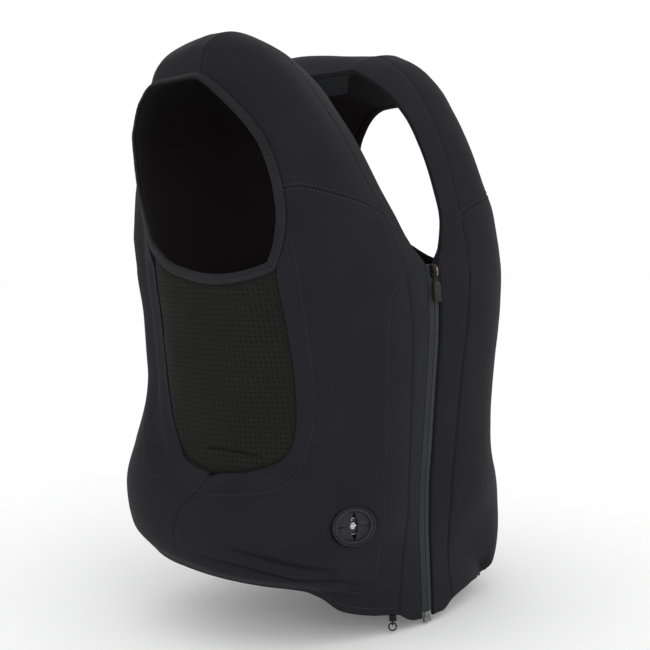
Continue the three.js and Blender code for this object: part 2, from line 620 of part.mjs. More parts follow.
// Panels
add("back_panel", sagged(backPanel()), COLOURS.shell, 0.85);
const grommetHole = turnOut(disc(GROMMET.outer + FIT, -GROMMET.deep - FIT, 12, 40));
grommetHole.applyMatrix4(grommetSeat.matrixWorld);
const panel = frontPanel();
add("right_front_panel", cut(mirrored(panel), grommetHole), COLOURS.shell, 0.85);
add("left_front_panel", sagged(panel), COLOURS.shell, 0.85);
add("neck_label", neckLabel(), COLOURS.lining, 0.8);
addPair("yoke", yoke(), COLOURS.shell, 0.85);
addPair("front_band", frontBand(), COLOURS.band, 0.85);
addPair("side_mesh", sideMesh(), COLOURS.mesh, 0.9);
addPair("armhole_binding", armholeBinding(), COLOURS.binding, 0.9);

// Zip
const tapeIn = ZIP.chain / 2 + FIT;
addPair("zip_tape", zipStrip(tapeIn, tapeIn + ZIP.tape, 0.5, ZIP.tapeThick), 0x3a3c40, 0.7);
add("zip_chain", zipStrip(-ZIP.chain / 2, ZIP.chain / 2, 0, ZIP.chainThick), 0x1d1e20, 0.5);
const endSeat = seat(0, ZIP.bottom, zipHeight(ZIP.bottom) + ZIP.chainThick / 2);
const endHalf = END_BOX.thick / 2;
add(
  "zip_end_box",
  block(-END_BOX.width / 2, END_BOX.width / 2, -endHalf, endHalf, -END_BOX.tall, -FIT),
  0x8c8d8f,
  0.4,
  0.6,
  endSeat,
);
const sliderRise = ZIP.top - 0.012;
const sliderSeat = seat(0, sliderRise, zipHeight(sliderRise) + ZIP.chainThick + 2 * FIT + hingeHeight);
add("zip_slider", zipSlider(), 0x6a5a40, 0.35, 0.8, sliderSeat);
add("zip_pull", zipPull(), 0x2e2e2a, 0.6, 0, sliderSeat);

// Small slider and ring at the hem
const [footAngle, footHem] = frontSpot(FOOT.share, SIDE_HEM);
const footSeat = new THREE.Group();
footSeat.position.copy(wall(footAngle, footHem)).multiply(new THREE.Vector3(-1, 1, 1));
footSeat.position.add(new THREE.Vector3(0, -CLOTH / 2, -FOOT.hole - FOOT.tall - 3 * FIT));
footSeat.rotation.z = THREE.MathUtils.degToRad(FOOT.turn);
vest.add(footSeat);
add("foot_slider", footSlider(), 0x1c1c1e, 0.4, 0.6, footSeat);
const ring = new THREE.TorusGeometry(RING.radius, RING.wire, 6, 16);
add("foot_ring", ring.rotateX(Math.PI / 2).translate(0, 0, -RING.radius), 0x1c1c1e, 0.4, 0.6, footSeat);

// Grommet: a rubber ring, a slit rubber diaphragm and the metal coupling behind it
const { outer, inner, proud, deep } = GROMMET;
const ringProfile = [
  [inner, -deep],
  [outer, -deep],
  [outer, 0.4 * proud],
  [outer - 1.6, proud],
  [inner + 1.4, proud],
  [inner, 0.5 * proud],
];
add("grommet_ring", turnOut(turned(ringProfile, 32)), 0x2b2c2f, 0.55, 0, grommetSeat);
const leaf = disc(inner - FIT, -1.2, 0.6, 32);
const reach = inner - SLIT.short;
const upright = block(-SLIT.wide / 2, SLIT.wide / 2, -reach, reach, -3, 3);
const level = block(-reach, reach, -SLIT.fine / 2, SLIT.fine / 2, -3, 3);
add("grommet_diaphragm", turnOut(cut(leaf, upright, level)), 0x27282b, 0.6, 0, grommetSeat);
add("grommet_coupling", turnOut(disc(COUPLING, -deep, -1.2 - FIT, 24)), 0xb9bbbd, 0.25, 1, grommetSeat);

export default vest;
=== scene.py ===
"""Airbag vest: padded panels, perforated sides, bound armholes, front zip and a rubber port."""
import math

import bmesh
import bpy
import numpy as np
from mathutils import Matrix
from mathutils.geometry import delaunay_2d_cdt


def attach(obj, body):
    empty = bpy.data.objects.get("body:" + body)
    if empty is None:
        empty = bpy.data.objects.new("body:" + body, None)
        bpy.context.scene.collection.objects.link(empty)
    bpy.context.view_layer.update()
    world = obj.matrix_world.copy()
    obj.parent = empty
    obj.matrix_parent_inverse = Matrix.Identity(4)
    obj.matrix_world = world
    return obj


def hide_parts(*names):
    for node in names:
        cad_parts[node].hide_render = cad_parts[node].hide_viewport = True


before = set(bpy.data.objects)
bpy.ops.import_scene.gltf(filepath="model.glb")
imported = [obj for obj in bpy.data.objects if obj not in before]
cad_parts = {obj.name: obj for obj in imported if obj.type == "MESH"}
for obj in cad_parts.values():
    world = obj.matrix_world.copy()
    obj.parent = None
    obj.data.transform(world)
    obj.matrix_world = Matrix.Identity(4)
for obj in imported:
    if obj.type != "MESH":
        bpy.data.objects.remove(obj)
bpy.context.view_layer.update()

# Sizes in mm, turned to metres when a mesh is made. An angle goes round the body, 0 at the zip,
# 90 at the wearer's left and 180 behind. A rise goes up it, 0 at the lowest hem, 1 at the shoulders.
SEAM_GAP, SEAM_CLOSED = 0.06, 0.01
FIT = 0.3
FRONT_LENGTH, DEGREE_LENGTH = 626, 3.0
FRONT_POWER = 2.3
BACK_POWER = 2.6
NAPE_DIP, NAPE_REACH, NAPE_START = 11, 80, 0.9
STOOP, STOOP_REACH, STOOP_START, STOOP_FULL = 16, 150, 0.86, 0.965
CLOTH = 3.5
FLANGE, FLANGE_SHARE = 18, 0.2
SIDE_ROUND, BLADE_ROUND, NECK_ROUND = 58, 110, 84
ZIP_SHARE = 0.25
HEM_FLAT, HEM_FRONT, HEM_BACK = 80, 34, 72
SIDE_HEM, HIP, CHEST = 0.105, 0.218, 0.702
MESH_FOOT, MESH_HEAD = 0.2556, 0.57
DIP_SHARE, DIP_RISE, DIP_FRONT, DIP_BACK = 0.42, 0.547, 0.023, 0.053
SAG_FRONT, SAG_HEM = (-40, 60), (460, 545)
NAPE_ANGLE, NAPE_RISE = 9.4, 0.995

# rise, height, half width, front depth, back depth, shoulder slope
BODY = [
    (0.0, -570, 190, 150, 114, 0), (0.086, -516, 190, 147, 122, 0), (0.169, -465, 187, 140, 128, 0),
    (0.208, -440, 184, 139, 128, 0), (0.271, -401, 181, 142, 120, 0), (0.333, -362, 180, 145, 110, 0),
    (0.396, -323, 183, 148, 104, 0), (0.479, -271, 189, 151, 104, 0), (0.562, -219, 194, 148, 112, 0),
    (0.64, -171, 194, 138, 128, 1), (0.702, -136, 194, 122, 143, 4), (0.765, -101, 195, 104, 150, 11),
    (0.832, -66, 197, 81, 152, 24), (0.869, -48, 198, 66, 145, 31), (0.911, -30, 201, 47, 133, 36),
    (0.954, -14, 203, 25, 115, 41), (0.986, -4, 205, 8, 90, 43), (1.0, 0, 206, 0, 0, 44),
]
# rise, then the angles of the zip or neck edge, the band seam and the sides of front and back
PATTERN = [
    (0.0, 1.6, 10.6, 83, 83), (0.085, 1.6, 8.4, 84.5, 84.5), (0.138, 1.6, 7.8, 87, 87),
    (0.172, 1.6, 7.6, 87, 87), (0.204, 1.6, 7.7, 85.3, 85.3), (0.224, 1.6, 7.9, 84, 84),
    (0.24, 1.6, 8.0, 81.6, 81.6), (0.246, 1.6, 8.05, 80.2, 80.2), (0.252, 1.6, 8.1, 78, 80.8),
    (0.258, 1.6, 8.1, 67, 86), (0.266, 1.6, 8.2, 59.5, 90.2), (0.28, 1.6, 8.3, 52, 92.8),
    (0.302, 1.6, 8.5, 48.6, 96.6), (0.342, 1.6, 8.7, 47.5, 103), (0.4, 1.6, 9.0, 48, 107.3),
    (0.48, 1.6, 9.7, 50, 107.3), (0.57, 1.6, 11.5, 51.9, 107.8), (0.6, 4.7, 13.0, 49.3, 110.2),
    (0.665, 8.9, 15.2, 45.9, 119.6), (0.73, 11.0, 17.8, 44.7, 124.8), (0.79, 12.2, 19.6, 44.8, 126.6),
    (0.85, 13.2, 21.3, 46.5, 128), (0.91, 12.5, 22.0, 48.8, 129), (0.955, 11.8, 22.2, 49.8, 129.9),
    (1.0, 11.6, 22.5, 51.8, 130.4),
]
# angle, then the rises of the hem, of the foot of the padding and of the chest seam
LEVELS = [
    (0, 0.0, 0.072, 0.63), (5, 0.003, 0.071, 0.635), (10, 0.018, 0.07, 0.64), (20, 0.027, 0.068, 0.658),
    (31, 0.042, 0.069, 0.673), (38, 0.066, 0.073, 0.688), (44, 0.078, 0.08, 0.7), (60, 0.087, 0.088, 0.702),
    (88, 0.099, 0.099, 0.702),
    (125, 0.112, 0.112, 0.702), (180, 0.112, 0.112, 0.702),
]
# distance to the wearer's left of the zip, drop of the left front's hem
LEFT_SAG = [
    (0, 0), (15, 0), (35, 3), (60, 2), (85, 4), (105, 11), (120, 22), (134, 46), (150, 54), (190, 30), (220, 8),
]
# rise, full padding in front and behind
PADDING = [
    (0.0, 24, 27), (0.17, 27, 31), (0.21, 28, 32), (0.27, 27, 29), (0.4, 25, 25), (0.57, 25, 24),
    (0.7, 26, 24), (0.85, 30, 27), (0.95, 34, 33), (1.0, 36, 36),
]


def curve(table, column):
    """Smooth curve through one column of a table by its first, with no overshoot between rows."""
    xs = np.array([row[0] for row in table], float)
    ys = np.array([row[column] for row in table], float)
    steps = np.diff(xs)
    grades = np.diff(ys) / steps
    slopes = np.r_[grades[0], np.zeros(len(xs) - 2), grades[-1]]
    for i in range(1, len(xs) - 1):
        if grades[i - 1] * grades[i] > 0:
            before = 2 * steps[i] + steps[i - 1]
            after = steps[i] + 2 * steps[i - 1]
            slopes[i] = (before + after) / (before / grades[i - 1] + after / grades[i])

    def value(at):
        x = np.clip(at, xs[0], xs[-1])
        i = np.clip(np.searchsorted(xs, x, "right") - 1, 0, len(xs) - 2)
        u = (x - xs[i]) / steps[i]
        start = (1 + 2 * u) * (1 - u) ** 2 * ys[i] + u * (1 - u) ** 2 * slopes[i] * steps[i]
        return start + u * u * (3 - 2 * u) * ys[i + 1] + u * u * (u - 1) * slopes[i + 1] * steps[i]

    return value


body_height, body_width, body_front, body_back, body_slope = (curve(BODY, k) for k in range(1, 6))
neck_angle, band_angle, front_angle, back_angle = (curve(PATTERN, k) for k in range(1, 5))
hem_rise, foot_rise, chest_rise = (curve(LEVELS, k) for k in range(1, 4))
front_pad, back_pad = curve(PADDING, 1), curve(PADDING, 2)
left_sag = curve(LEFT_SAG, 1)


def lerp(a, b, share):
    return a + (b - a) * share


def ramp(value, start, end):
    return np.clip((value - start) / (end - start), 0, 1)


def smooth(value, start, end):
    share = ramp(value, start, end)
    return share * share * (3 - 2 * share)


def swell(share):
    """Quarter-round rise of the padding, eased where it leaves its stitching."""
    share = np.clip(share, 0, 1)
    return np.sqrt(1 - (1 - share) ** 2) * np.sqrt(smooth(share, 0, 0.3))


def paired(a, b):
    return np.broadcast_arrays(np.asarray(a, float), np.asarray(b, float))


def wall(angle, rise):
    """Points on the inside of the vest."""
    angle, rise = paired(angle, rise)
    turn = np.radians(angle)
    ahead, side = np.cos(turn), np.sin(turn)
    power = 2 / np.where(ahead > 0, FRONT_POWER, BACK_POWER)
    across = np.sign(side) * np.abs(side) ** power
    along = np.sign(ahead) * np.abs(ahead) ** power
    x = body_width(rise) * across
    dip = NAPE_DIP * ramp(rise, NAPE_START, 1) * np.maximum(0, 1 - (x / NAPE_REACH) ** 2) ** 2
    fall = STOOP * ramp(rise, STOOP_START, STOOP_FULL) * (1 - ramp(rise, STOOP_FULL, 1))
    stoop = np.where(ahead > 0, 0, fall) * np.maximum(0, 1 - (x / STOOP_REACH) ** 2) ** 2
    depth = np.where(ahead > 0, body_front(rise), body_back(rise))
    height = body_height(rise) - body_slope(rise) * across**2 - dip - stoop
    return np.stack([x, -depth * along, height], -1)


def unit(vectors):
    return vectors / np.maximum(np.linalg.norm(vectors, axis=-1, keepdims=True), 1e-9)


def bell(gap, wide):
    return np.exp(-((gap / wide) ** 2))


def run_along(line):
    """Running length along a line of points."""
    return np.r_[0, np.cumsum(np.linalg.norm(np.diff(line, axis=0), axis=1))]


def at_run(at, run, values):
    """Values at a running length along their line."""
    return np.stack([np.interp(at, run, column) for column in values.T], -1)


def turns_of(count):
    return np.arange(count) * 2 * math.pi / count


def around(count, start=0.0):
    """Flat points round a circle of radius 1."""
    turn = turns_of(count) + start
    return np.stack([np.cos(turn), np.sin(turn)], -1)


def outward(angle, rise):
    """Directions out of the vest, turning upright over the ridge of the shoulders."""
    angle, rise = paired(angle, rise)
    low = np.minimum(rise, 0.9985)
    across = wall(angle + 0.2, low) - wall(angle - 0.2, low)
    up = wall(angle, low + 0.001) - wall(angle, low - 0.001)
    out = unit(np.cross(across, up))
    ridge = wall(angle + 0.2, np.ones_like(rise)) - wall(angle - 0.2, np.ones_like(rise))
    ahead = np.zeros_like(ridge)
    forward = np.cos(np.radians(angle))
    ahead[..., 1] = np.sign(forward)
    top = unit(np.cross(ridge, ahead))
    return unit(lerp(out, top, smooth(rise, np.where(forward > 0, 0.95, 0.975), 1)[..., None]))


def apart(points, line):
    """Each point's distance from a line of points, and how far along the line that is."""
    flat = points.reshape(-1, points.shape[-1])
    best, where = np.full(len(flat), 1e9), np.zeros(len(flat))
    run = 0.0
    for start, end in zip(line[:-1], line[1:]):
        step = end - start
        long = max(np.linalg.norm(step), 1e-9)
        share = np.clip((flat - start) @ step / long**2, 0, 1)
        gap = np.linalg.norm(flat - start - share[:, None] * step, axis=1)
        nearer = gap < best
        best[nearer] = gap[nearer]
        where[nearer] = run + share[nearer] * long
        run += long
    return best.reshape(points.shape[:-1]), where.reshape(points.shape[:-1])


def nape_rise(angle):
    turn = np.abs(180 - angle) / NAPE_ANGLE
    return np.where(turn < 1, lerp(NAPE_RISE, 1, turn**2), 1.0)


SIDE_RISES = np.r_[np.linspace(0.252, 0.3, 26), np.linspace(0.31, 1, 46)]
FRONT_SIDE = wall(front_angle(SIDE_RISES), SIDE_RISES)
BACK_SIDE = wall(back_angle(SIDE_RISES), SIDE_RISES)
NECK_RISES = np.linspace(0, 1, 60)
NAPE_TURNS = 180 - np.linspace(NAPE_ANGLE, 0, 8)
NECK_LINE = np.r_[wall(neck_angle(NECK_RISES), NECK_RISES), wall(NAPE_TURNS, nape_rise(NAPE_TURNS))]


def thickness(angle, rise):
    """Thickness of the padded panels."""
    turn = np.where(angle > 180, 360 - angle, angle)
    spot = wall(turn, rise)
    backness = smooth(turn, 60, 110)
    pad = lerp(front_pad(rise), back_pad(rise), backness)
    flange = FLANGE * (1 - ramp(rise, 0.57, 0.66))
    flat = FLANGE_SHARE * flange / FLANGE
    reach = np.minimum(apart(spot, FRONT_SIDE)[0], apart(spot, BACK_SIDE)[0])
    border = flat * lerp(0.4, 1, np.minimum(1, reach / np.maximum(flange, 1e-6)))
    blade = backness * ramp(rise, 0.62, 0.74) * (1 - ramp(rise, 0.965, 0.996))
    side = border + (1 - flat) * lerp(swell((reach - flange) / SIDE_ROUND), smooth(reach, 0, BLADE_ROUND), blade)
    lift = (rise - foot_rise(turn)) * FRONT_LENGTH
    rolled = swell(lift / lerp(HEM_FRONT, HEM_BACK, backness))
    foot = lerp(smooth(lift, 0, HEM_FLAT), rolled, smooth(turn, 16, 44))
    least = ZIP_SHARE * (1 - ramp(rise, 0.55, 0.62)) * (1 - backness)
    near = np.minimum(1, apart(spot, NECK_LINE)[0] / NECK_ROUND)
    return CLOTH + (pad - CLOTH) * side * foot * lerp(least, 1, np.sin(near * math.pi / 2))


def over(angle, rise, up=0.0):
    """Points on the outside of the panels, or a height over it."""
    angle, rise = paired(angle, rise)
    return wall(angle, rise) + outward(angle, rise) * (thickness(angle, rise) + up)[..., None]


def front_spot(share, level):
    """Angle and rise on a front: share 0 at the zip or neck, 1 at the band seam, 2 at the side."""
    share, level = paired(share, level)
    rise = level
    for _ in range(6):
        angle = np.where(
            share < 1,
            lerp(neck_angle(rise), band_angle(rise), share),
            lerp(band_angle(rise), front_angle(rise), share - 1),
        )
        low = lerp(hem_rise(angle), HIP, ramp(level, SIDE_HEM, HIP))
        mid = lerp(HIP, chest_rise(angle), ramp(level, HIP, CHEST))
        high = lerp(chest_rise(angle), 1, ramp(level, CHEST, 1))
        rise = np.where(level < HIP, low, np.where(level < CHEST, mid, high))
    return angle, rise


def back_spot(share, level):
    """Angle and rise on the back: share 1 at the left side, 0 in the middle, -1 at the right."""
    share, level = paired(share, level)
    rise = level
    for _ in range(6):
        angle = 180 - share * (180 - back_angle(rise))
        low = lerp(hem_rise(np.where(angle > 180, 360 - angle, angle)), HIP, ramp(level, SIDE_HEM, HIP))
        rise = np.where(level < HIP, low, lerp(HIP, nape_rise(angle), ramp(level, HIP, 1)))
    return angle, rise


def mesh_top(share):
    """Rise of the side mesh's top edge, by the share of the way from front to back."""
    along = (share - DIP_SHARE) / np.where(share < DIP_SHARE, DIP_SHARE, 1 - DIP_SHARE)
    return DIP_RISE + np.where(along < 0, DIP_FRONT, DIP_BACK) * along**2


def sagged(points):
    """Lowers the wearer's left front towards the hem."""
    moved = points.copy()
    front = smooth(-points[..., 1], *SAG_FRONT)
    moved[..., 2] -= left_sag(points[..., 0]) * front * smooth(-points[..., 2], *SAG_HEM)
    return moved


def mirrored(points):
    return points * np.array([-1.0, 1.0, 1.0])


PLACE = {"right": mirrored, "left": sagged}


# Materials

def shader(name, base, rough, metal=0.0, specular=0.5, sheen=0.0, coat=0.0):
    """New material, its tree and its shader, with what is the same all over set on the shader."""
    made = bpy.data.materials.new(name)
    made.use_nodes = True
    tree = made.node_tree
    tree.nodes.clear()
    bsdf = tree.nodes.new("ShaderNodeBsdfPrincipled")
    end = tree.nodes.new("ShaderNodeOutputMaterial")
    tree.links.new(bsdf.outputs["BSDF"], end.inputs["Surface"])
    settings = {
        "Base Color": (*base, 1), "Roughness": rough, "Metallic": metal, "Specular IOR Level": specular,
        "Sheen Weight": sheen, "Sheen Roughness": 0.45, "Coat Weight": coat, "Coat Roughness": 0.3,
    }
    for socket, value in settings.items():
        bsdf.inputs[socket].default_value = value
    return made, tree, bsdf


def add_node(tree, kind, settings=None, **inputs):
    """New node with its settings, and its inputs set or linked by name, _ for a space."""
    made = tree.nodes.new("ShaderNode" + kind)
    for key, value in (settings or {}).items():
        setattr(made, key, value)
    for key, value in inputs.items():
        socket = made.inputs[int(key[1:]) if key[0] == "n" and key[1:].isdigit() else key.replace("_", " ")]
        if isinstance(value, bpy.types.NodeSocket):
            tree.links.new(value, socket)
        else:
            socket.default_value = value
    return made


def tones(tree, factor, dark, light, low=0.0, high=1.0):
    """Colour ramp from dark to light."""
    made = add_node(tree, "ValToRGB", Fac=factor)
    first, last = made.color_ramp.elements
    first.position, first.color = low, (*dark, 1)
    last.position, last.color = high, (*light, 1)
    return made.outputs["Color"]


def product(tree, a, b, how="MULTIPLY"):
    return add_node(tree, "Math", {"operation": how}, n0=a, n1=b).outputs[0]


def bumped(tree, bsdf, height, deep, strength):
    bump = add_node(tree, "Bump", Height=height, Distance=deep, Strength=strength)
    tree.links.new(bump.outputs["Normal"], bsdf.inputs["Normal"])


def ribs(tree, place, pitch, way, shake=0.0):
    """Ribs a pitch apart in metres across one way of a flat layout."""
    settings = {"wave_type": "BANDS", "bands_direction": way, "wave_profile": "SIN"}
    wave = add_node(tree, "TexWave", settings, Vector=place, Scale=math.pi / 10 / pitch, Distortion=shake)
    return wave.outputs["Fac"]


def grain(tree, place, size, detail=2.0):
    """Noise of about a size in metres."""
    return add_node(tree, "TexNoise", Vector=place, Scale=1 / size, Detail=detail).outputs["Fac"]


def cloth(name, dark, light, shade_colour, rough, pitch, deep, sheen, twill=False):
    """Woven or knitted cloth: yarns both ways, heathered colour, and painted shade, a darker colour mixed in where
    the seam attribute is set.
    """
    made, tree, bsdf = shader(name, dark, rough, specular=0.08, sheen=sheen)
    flat = add_node(tree, "UVMap", {"uv_map": "flat"}).outputs["UV"]
    if twill:
        flat = add_node(tree, "Mapping", Vector=flat, Rotation=(0, 0, math.radians(38))).outputs["Vector"]
    yarn = product(tree, ribs(tree, flat, pitch, "X", 0.4), ribs(tree, flat, 0.8 * pitch, "Y", 0.4))
    heather = grain(tree, flat, 2.5 * pitch, 3)
    cloud = grain(tree, flat, 0.07, 3)
    mixed = product(tree, heather, cloud, "ADD")
    colour = tones(tree, product(tree, mixed, 0.5), dark, light, 0.3, 0.7)
    # The seam attribute paints shade: it mixes in the darker shade colour along seams, creases and recesses.
    seam = add_node(tree, "Attribute", {"attribute_name": "seam"}).outputs["Fac"]
    mix = add_node(tree, "Mix", {"data_type": "RGBA"}, n0=seam, n6=colour, n7=(*shade_colour, 1))
    tree.links.new(mix.outputs[2], bsdf.inputs["Base Color"])
    matte = add_node(tree, "MapRange", Value=heather, To_Min=rough - 0.08, To_Max=rough + 0.08)
    tree.links.new(matte.outputs[0], bsdf.inputs["Roughness"])
    bumped(tree, bsdf, product(tree, product(tree, yarn, heather, "ADD"), 0.5), deep, 0.6)
    return made


def moulded(name, dark, light, rough, grit, deep, specular=0.35, coat=0.0):
    """Moulded rubber or plastic with a fine grit, scuffed here and there."""
    made, tree, bsdf = shader(name, dark, rough, specular=specular, coat=coat)
    place = add_node(tree, "TexCoord").outputs["Object"]
    fine = grain(tree, place, grit, 3)
    scuff = grain(tree, place, 12 * grit, 4)
    tree.links.new(tones(tree, scuff, dark, light, 0.4, 0.72), bsdf.inputs["Base Color"])
    gloss = add_node(tree, "MapRange", Value=scuff, To_Min=rough + 0.1, To_Max=rough - 0.1)
    tree.links.new(gloss.outputs[0], bsdf.inputs["Roughness"])
    bumped(tree, bsdf, fine, deep, 0.5)
    return made


def metal(name, dark, light, rough, streak):
    """Metal with fine brushing and darker handling marks."""
    made, tree, bsdf = shader(name, light, rough, metal=1.0)
    place = add_node(tree, "TexCoord").outputs["Object"]
    drawn = add_node(tree, "Mapping", Vector=place, Scale=(1, 1, 0.08)).outputs["Vector"]
    brush = grain(tree, drawn, streak, 3)
    mark = grain(tree, place, 0.004, 4)
    tree.links.new(tones(tree, mark, dark, light, 0.32, 0.62), bsdf.inputs["Base Color"])
    gloss = add_node(tree, "MapRange", Value=brush, To_Min=rough - 0.08, To_Max=rough + 0.12)
    tree.links.new(gloss.outputs[0], bsdf.inputs["Roughness"])
    bumped(tree, bsdf, brush, 0.00004, 0.4)
    return made


# The third colour of each cloth is the painted shade colour that the seam attribute mixes in.
SHELL = cloth("shell_cloth", (0.0100, 0.0101, 0.0130), (0.0150, 0.0151, 0.0188), (0.004, 0.004, 0.005),
              0.85, 0.0009, 0.00012, 0.03)
BAND = cloth("band_cloth", (0.0103, 0.0104, 0.0133), (0.0154, 0.0155, 0.0192), (0.004, 0.004, 0.005),
             0.85, 0.0009, 0.00012, 0.03)
LINING = cloth("lining_cloth", (0.0070, 0.0056, 0.0060), (0.0105, 0.0086, 0.0090), (0.004, 0.004, 0.004),
               0.92, 0.0014, 0.0002, 0.02)
MESH = cloth("mesh_cloth", (0.0088, 0.0089, 0.0082), (0.0126, 0.0127, 0.0117), (0.006, 0.006, 0.006),
             0.88, 0.0011, 0.0002, 0.02)
BINDING = cloth("binding_cloth", (0.0095, 0.0097, 0.0122), (0.0230, 0.0232, 0.0265), (0.008, 0.008, 0.009),
                0.84, 0.0014, 0.00035, 0.05, True)
THREAD = cloth("thread", (0.0030, 0.0030, 0.0036), (0.0060, 0.0060, 0.0070), (0.004, 0.004, 0.005),
               0.75, 0.0004, 0.00006, 0.02, True)
PALE_THREAD = cloth("pale_thread", (0.024, 0.0245, 0.027), (0.040, 0.0405, 0.044), (0.012, 0.012, 0.014),
                    0.75, 0.0004, 0.00006, 0.02, True)
TAPE = cloth("zip_tape_cloth", (0.023, 0.0238, 0.026), (0.036, 0.037, 0.040), (0.010, 0.010, 0.011),
             0.75, 0.0007, 0.00012, 0.05, True)
LABEL = cloth("label_cloth", (0.010, 0.0102, 0.012), (0.016, 0.0163, 0.0185), (0.006, 0.006, 0.007),
              0.8, 0.0006, 0.00008, 0.03)
COIL = moulded("zip_coil", (0.006, 0.006, 0.0065), (0.012, 0.012, 0.0125), 0.5, 0.0004, 0.00002)
RUBBER = moulded("port_rubber", (0.0150, 0.0152, 0.0172), (0.0215, 0.0217, 0.0240), 0.62, 0.0005, 0.00004, 0.2)
LEAF = moulded("port_leaf_rubber", (0.0130, 0.0132, 0.0148), (0.0185, 0.0187, 0.0205), 0.62, 0.0006, 0.00005, 0.2)
PULL = moulded("pull_rubber", (0.0140, 0.0140, 0.0110), (0.0215, 0.0215, 0.0170), 0.62, 0.0005, 0.00005, 0.2)
STEEL = metal("coupling_steel", (0.28, 0.285, 0.29), (0.72, 0.725, 0.73), 0.22, 0.0006)
BRASS = metal("slider_brass", (0.10, 0.065, 0.035), (0.32, 0.22, 0.13), 0.32, 0.0005)
TIN = metal("end_box_metal", (0.11, 0.11, 0.11), (0.34, 0.34, 0.343), 0.38, 0.0005)
GUNMETAL = metal("dark_metal", (0.007, 0.007, 0.0075), (0.026, 0.026, 0.028), 0.42, 0.0005)


# Making pieces

def make(name, points, faces, look, nodes=(), flat=None, seam=None, inside=None, body="vest",
         sharp=48):
    """Piece from points in mm, with its looks, its flat layout and the CAD nodes it stands for."""
    mesh = bpy.data.meshes.new(name)
    mesh.from_pydata((np.asarray(points) / 1000).tolist(), [], faces)
    if flat is not None:
        layer = mesh.uv_layers.new(name="flat")
        corner = np.zeros(len(mesh.loops), int)
        mesh.loops.foreach_get("vertex_index", corner)
        layer.data.foreach_set("uv", (np.asarray(flat)[corner] / 1000).ravel())
    # seam holds painted shade: how much of the cloth's darker shade colour each point takes.
    if seam is not None:
        held = mesh.attributes.new("seam", "FLOAT", "POINT")
        held.data.foreach_set("value", np.asarray(seam, float).ravel())
    mesh.materials.append(look)
    if inside is not None:
        mesh.materials.append(LINING)
        index = np.zeros(len(mesh.polygons), int)
        index[inside] = 1
        mesh.polygons.foreach_set("material_index", index)
    shaped = bmesh.new()
    shaped.from_mesh(mesh)
    bmesh.ops.recalc_face_normals(shaped, faces=shaped.faces)
    shaped.to_mesh(mesh)
    shaped.free()
    mesh.polygons.foreach_set("use_smooth", np.ones(len(mesh.polygons), bool))
    mesh.set_sharp_from_angle(angle=math.radians(sharp))
    piece = bpy.data.objects.new(name, mesh)
    bpy.context.scene.collection.objects.link(piece)
    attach(piece, body)
    if nodes:
        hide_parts(*nodes)
    return piece


def slab(outer, inner):
    """Points and faces of a closed slab between two grids of points."""
    rows, columns = outer.shape[:2]
    count = rows * columns
    at = np.arange(count).reshape(rows, columns)
    front = np.stack([at[:-1, :-1], at[:-1, 1:], at[1:, 1:], at[1:, :-1]], -1).reshape(-1, 4)
    ring = np.r_[at[0], at[1:-1, -1], at[-1, ::-1], at[-2:0:-1, 0]]
    after = np.roll(ring, -1)
    rim = np.stack([ring, after, after + count, ring + count], 1)
    points = np.concatenate([outer.reshape(-1, 3), inner.reshape(-1, 3)])
    return points, np.concatenate([front, front + count, rim]).tolist()


def tube_faces(rings, sides, closed=False, base=0):
    """Faces of a tube of rings of points, capped at both ends unless it is closed."""
    i, j = np.meshgrid(np.arange(rings if closed else rings - 1), np.arange(sides), indexing="ij")
    k, after = (i + 1) % rings, (j + 1) % sides
    quads = np.stack([i * sides + j, i * sides + after, k * sides + after, k * sides + j], -1)
    faces = (quads.reshape(-1, 4) + base).tolist()
    if not closed:
        faces += [[base + end + j for j in range(sides)] for end in (0, (rings - 1) * sides)]
    return faces


def lengths(points, axis):
    """Running length of a grid's lines along an axis."""
    step = np.linalg.norm(np.diff(points, axis=axis), axis=-1)
    pad = [(0, 0), (0, 0)]
    pad[axis] = (1, 0)
    return np.cumsum(np.pad(step, pad), axis=axis)


def both_faces(across, along):
    """Flat layout of a slab, the same on its two faces."""
    return np.tile(np.stack([across, along], -1).reshape(-1, 2), (2, 1))


def traced(spots, pitch=2.0):
    """Smooth run of angles and rises through a few spots."""
    spots = np.array(spots, float)
    steps = np.hypot(np.diff(spots[:, 0]) * DEGREE_LENGTH, np.diff(spots[:, 1]) * FRONT_LENGTH)
    run = np.r_[0, np.cumsum(steps)]
    at = np.linspace(0, run[-1], max(8, int(run[-1] / pitch)))
    table = np.c_[run, spots]
    return curve(table, 1)(at), curve(table, 2)(at)


# Lines sewn into the panels, as angles and rises on the left half
FLANGE_LINE = [
    (45.8, 0.612), (44.6, 0.54), (43.3, 0.466), (41.7, 0.391), (42.1, 0.328), (44.2, 0.282), (50.4, 0.243),
    (62.9, 0.227), (78.3, 0.22), (90.8, 0.227), (103, 0.243), (111, 0.272), (115.5, 0.32), (117.5, 0.4),
    (117.5, 0.48), (118, 0.57), (120, 0.605),
]
POCKET_LINE = [
    (11.7, 0.54), (15.7, 0.537), (17.6, 0.53), (18.8, 0.514), (19.6, 0.45), (19.4, 0.375), (18.7, 0.296),
    (18.5, 0.216), (18.4, 0.132), (18.2, 0.096), (19.4, 0.079), (25.5, 0.082), (30.3, 0.091),
    (38.1, 0.097), (45, 0.1), (54.4, 0.111), (63.6, 0.122), (72, 0.129), (82, 0.136),
]
SECOND_LINE = [(22, 0.066), (27, 0.069), (32, 0.074)]
FOLD_LINE = [(70, 0.152), (57, 0.137), (45, 0.121), (32, 0.107)]
GROMMET_ANGLE, GROMMET_RISE = 28.5, 0.178
GROMMET_OUTER, GROMMET_INNER = 20.8, 15.5
GROMMET_OVAL = np.array([1.1, 0.9, 1.0])
PORT_BED = 4.3
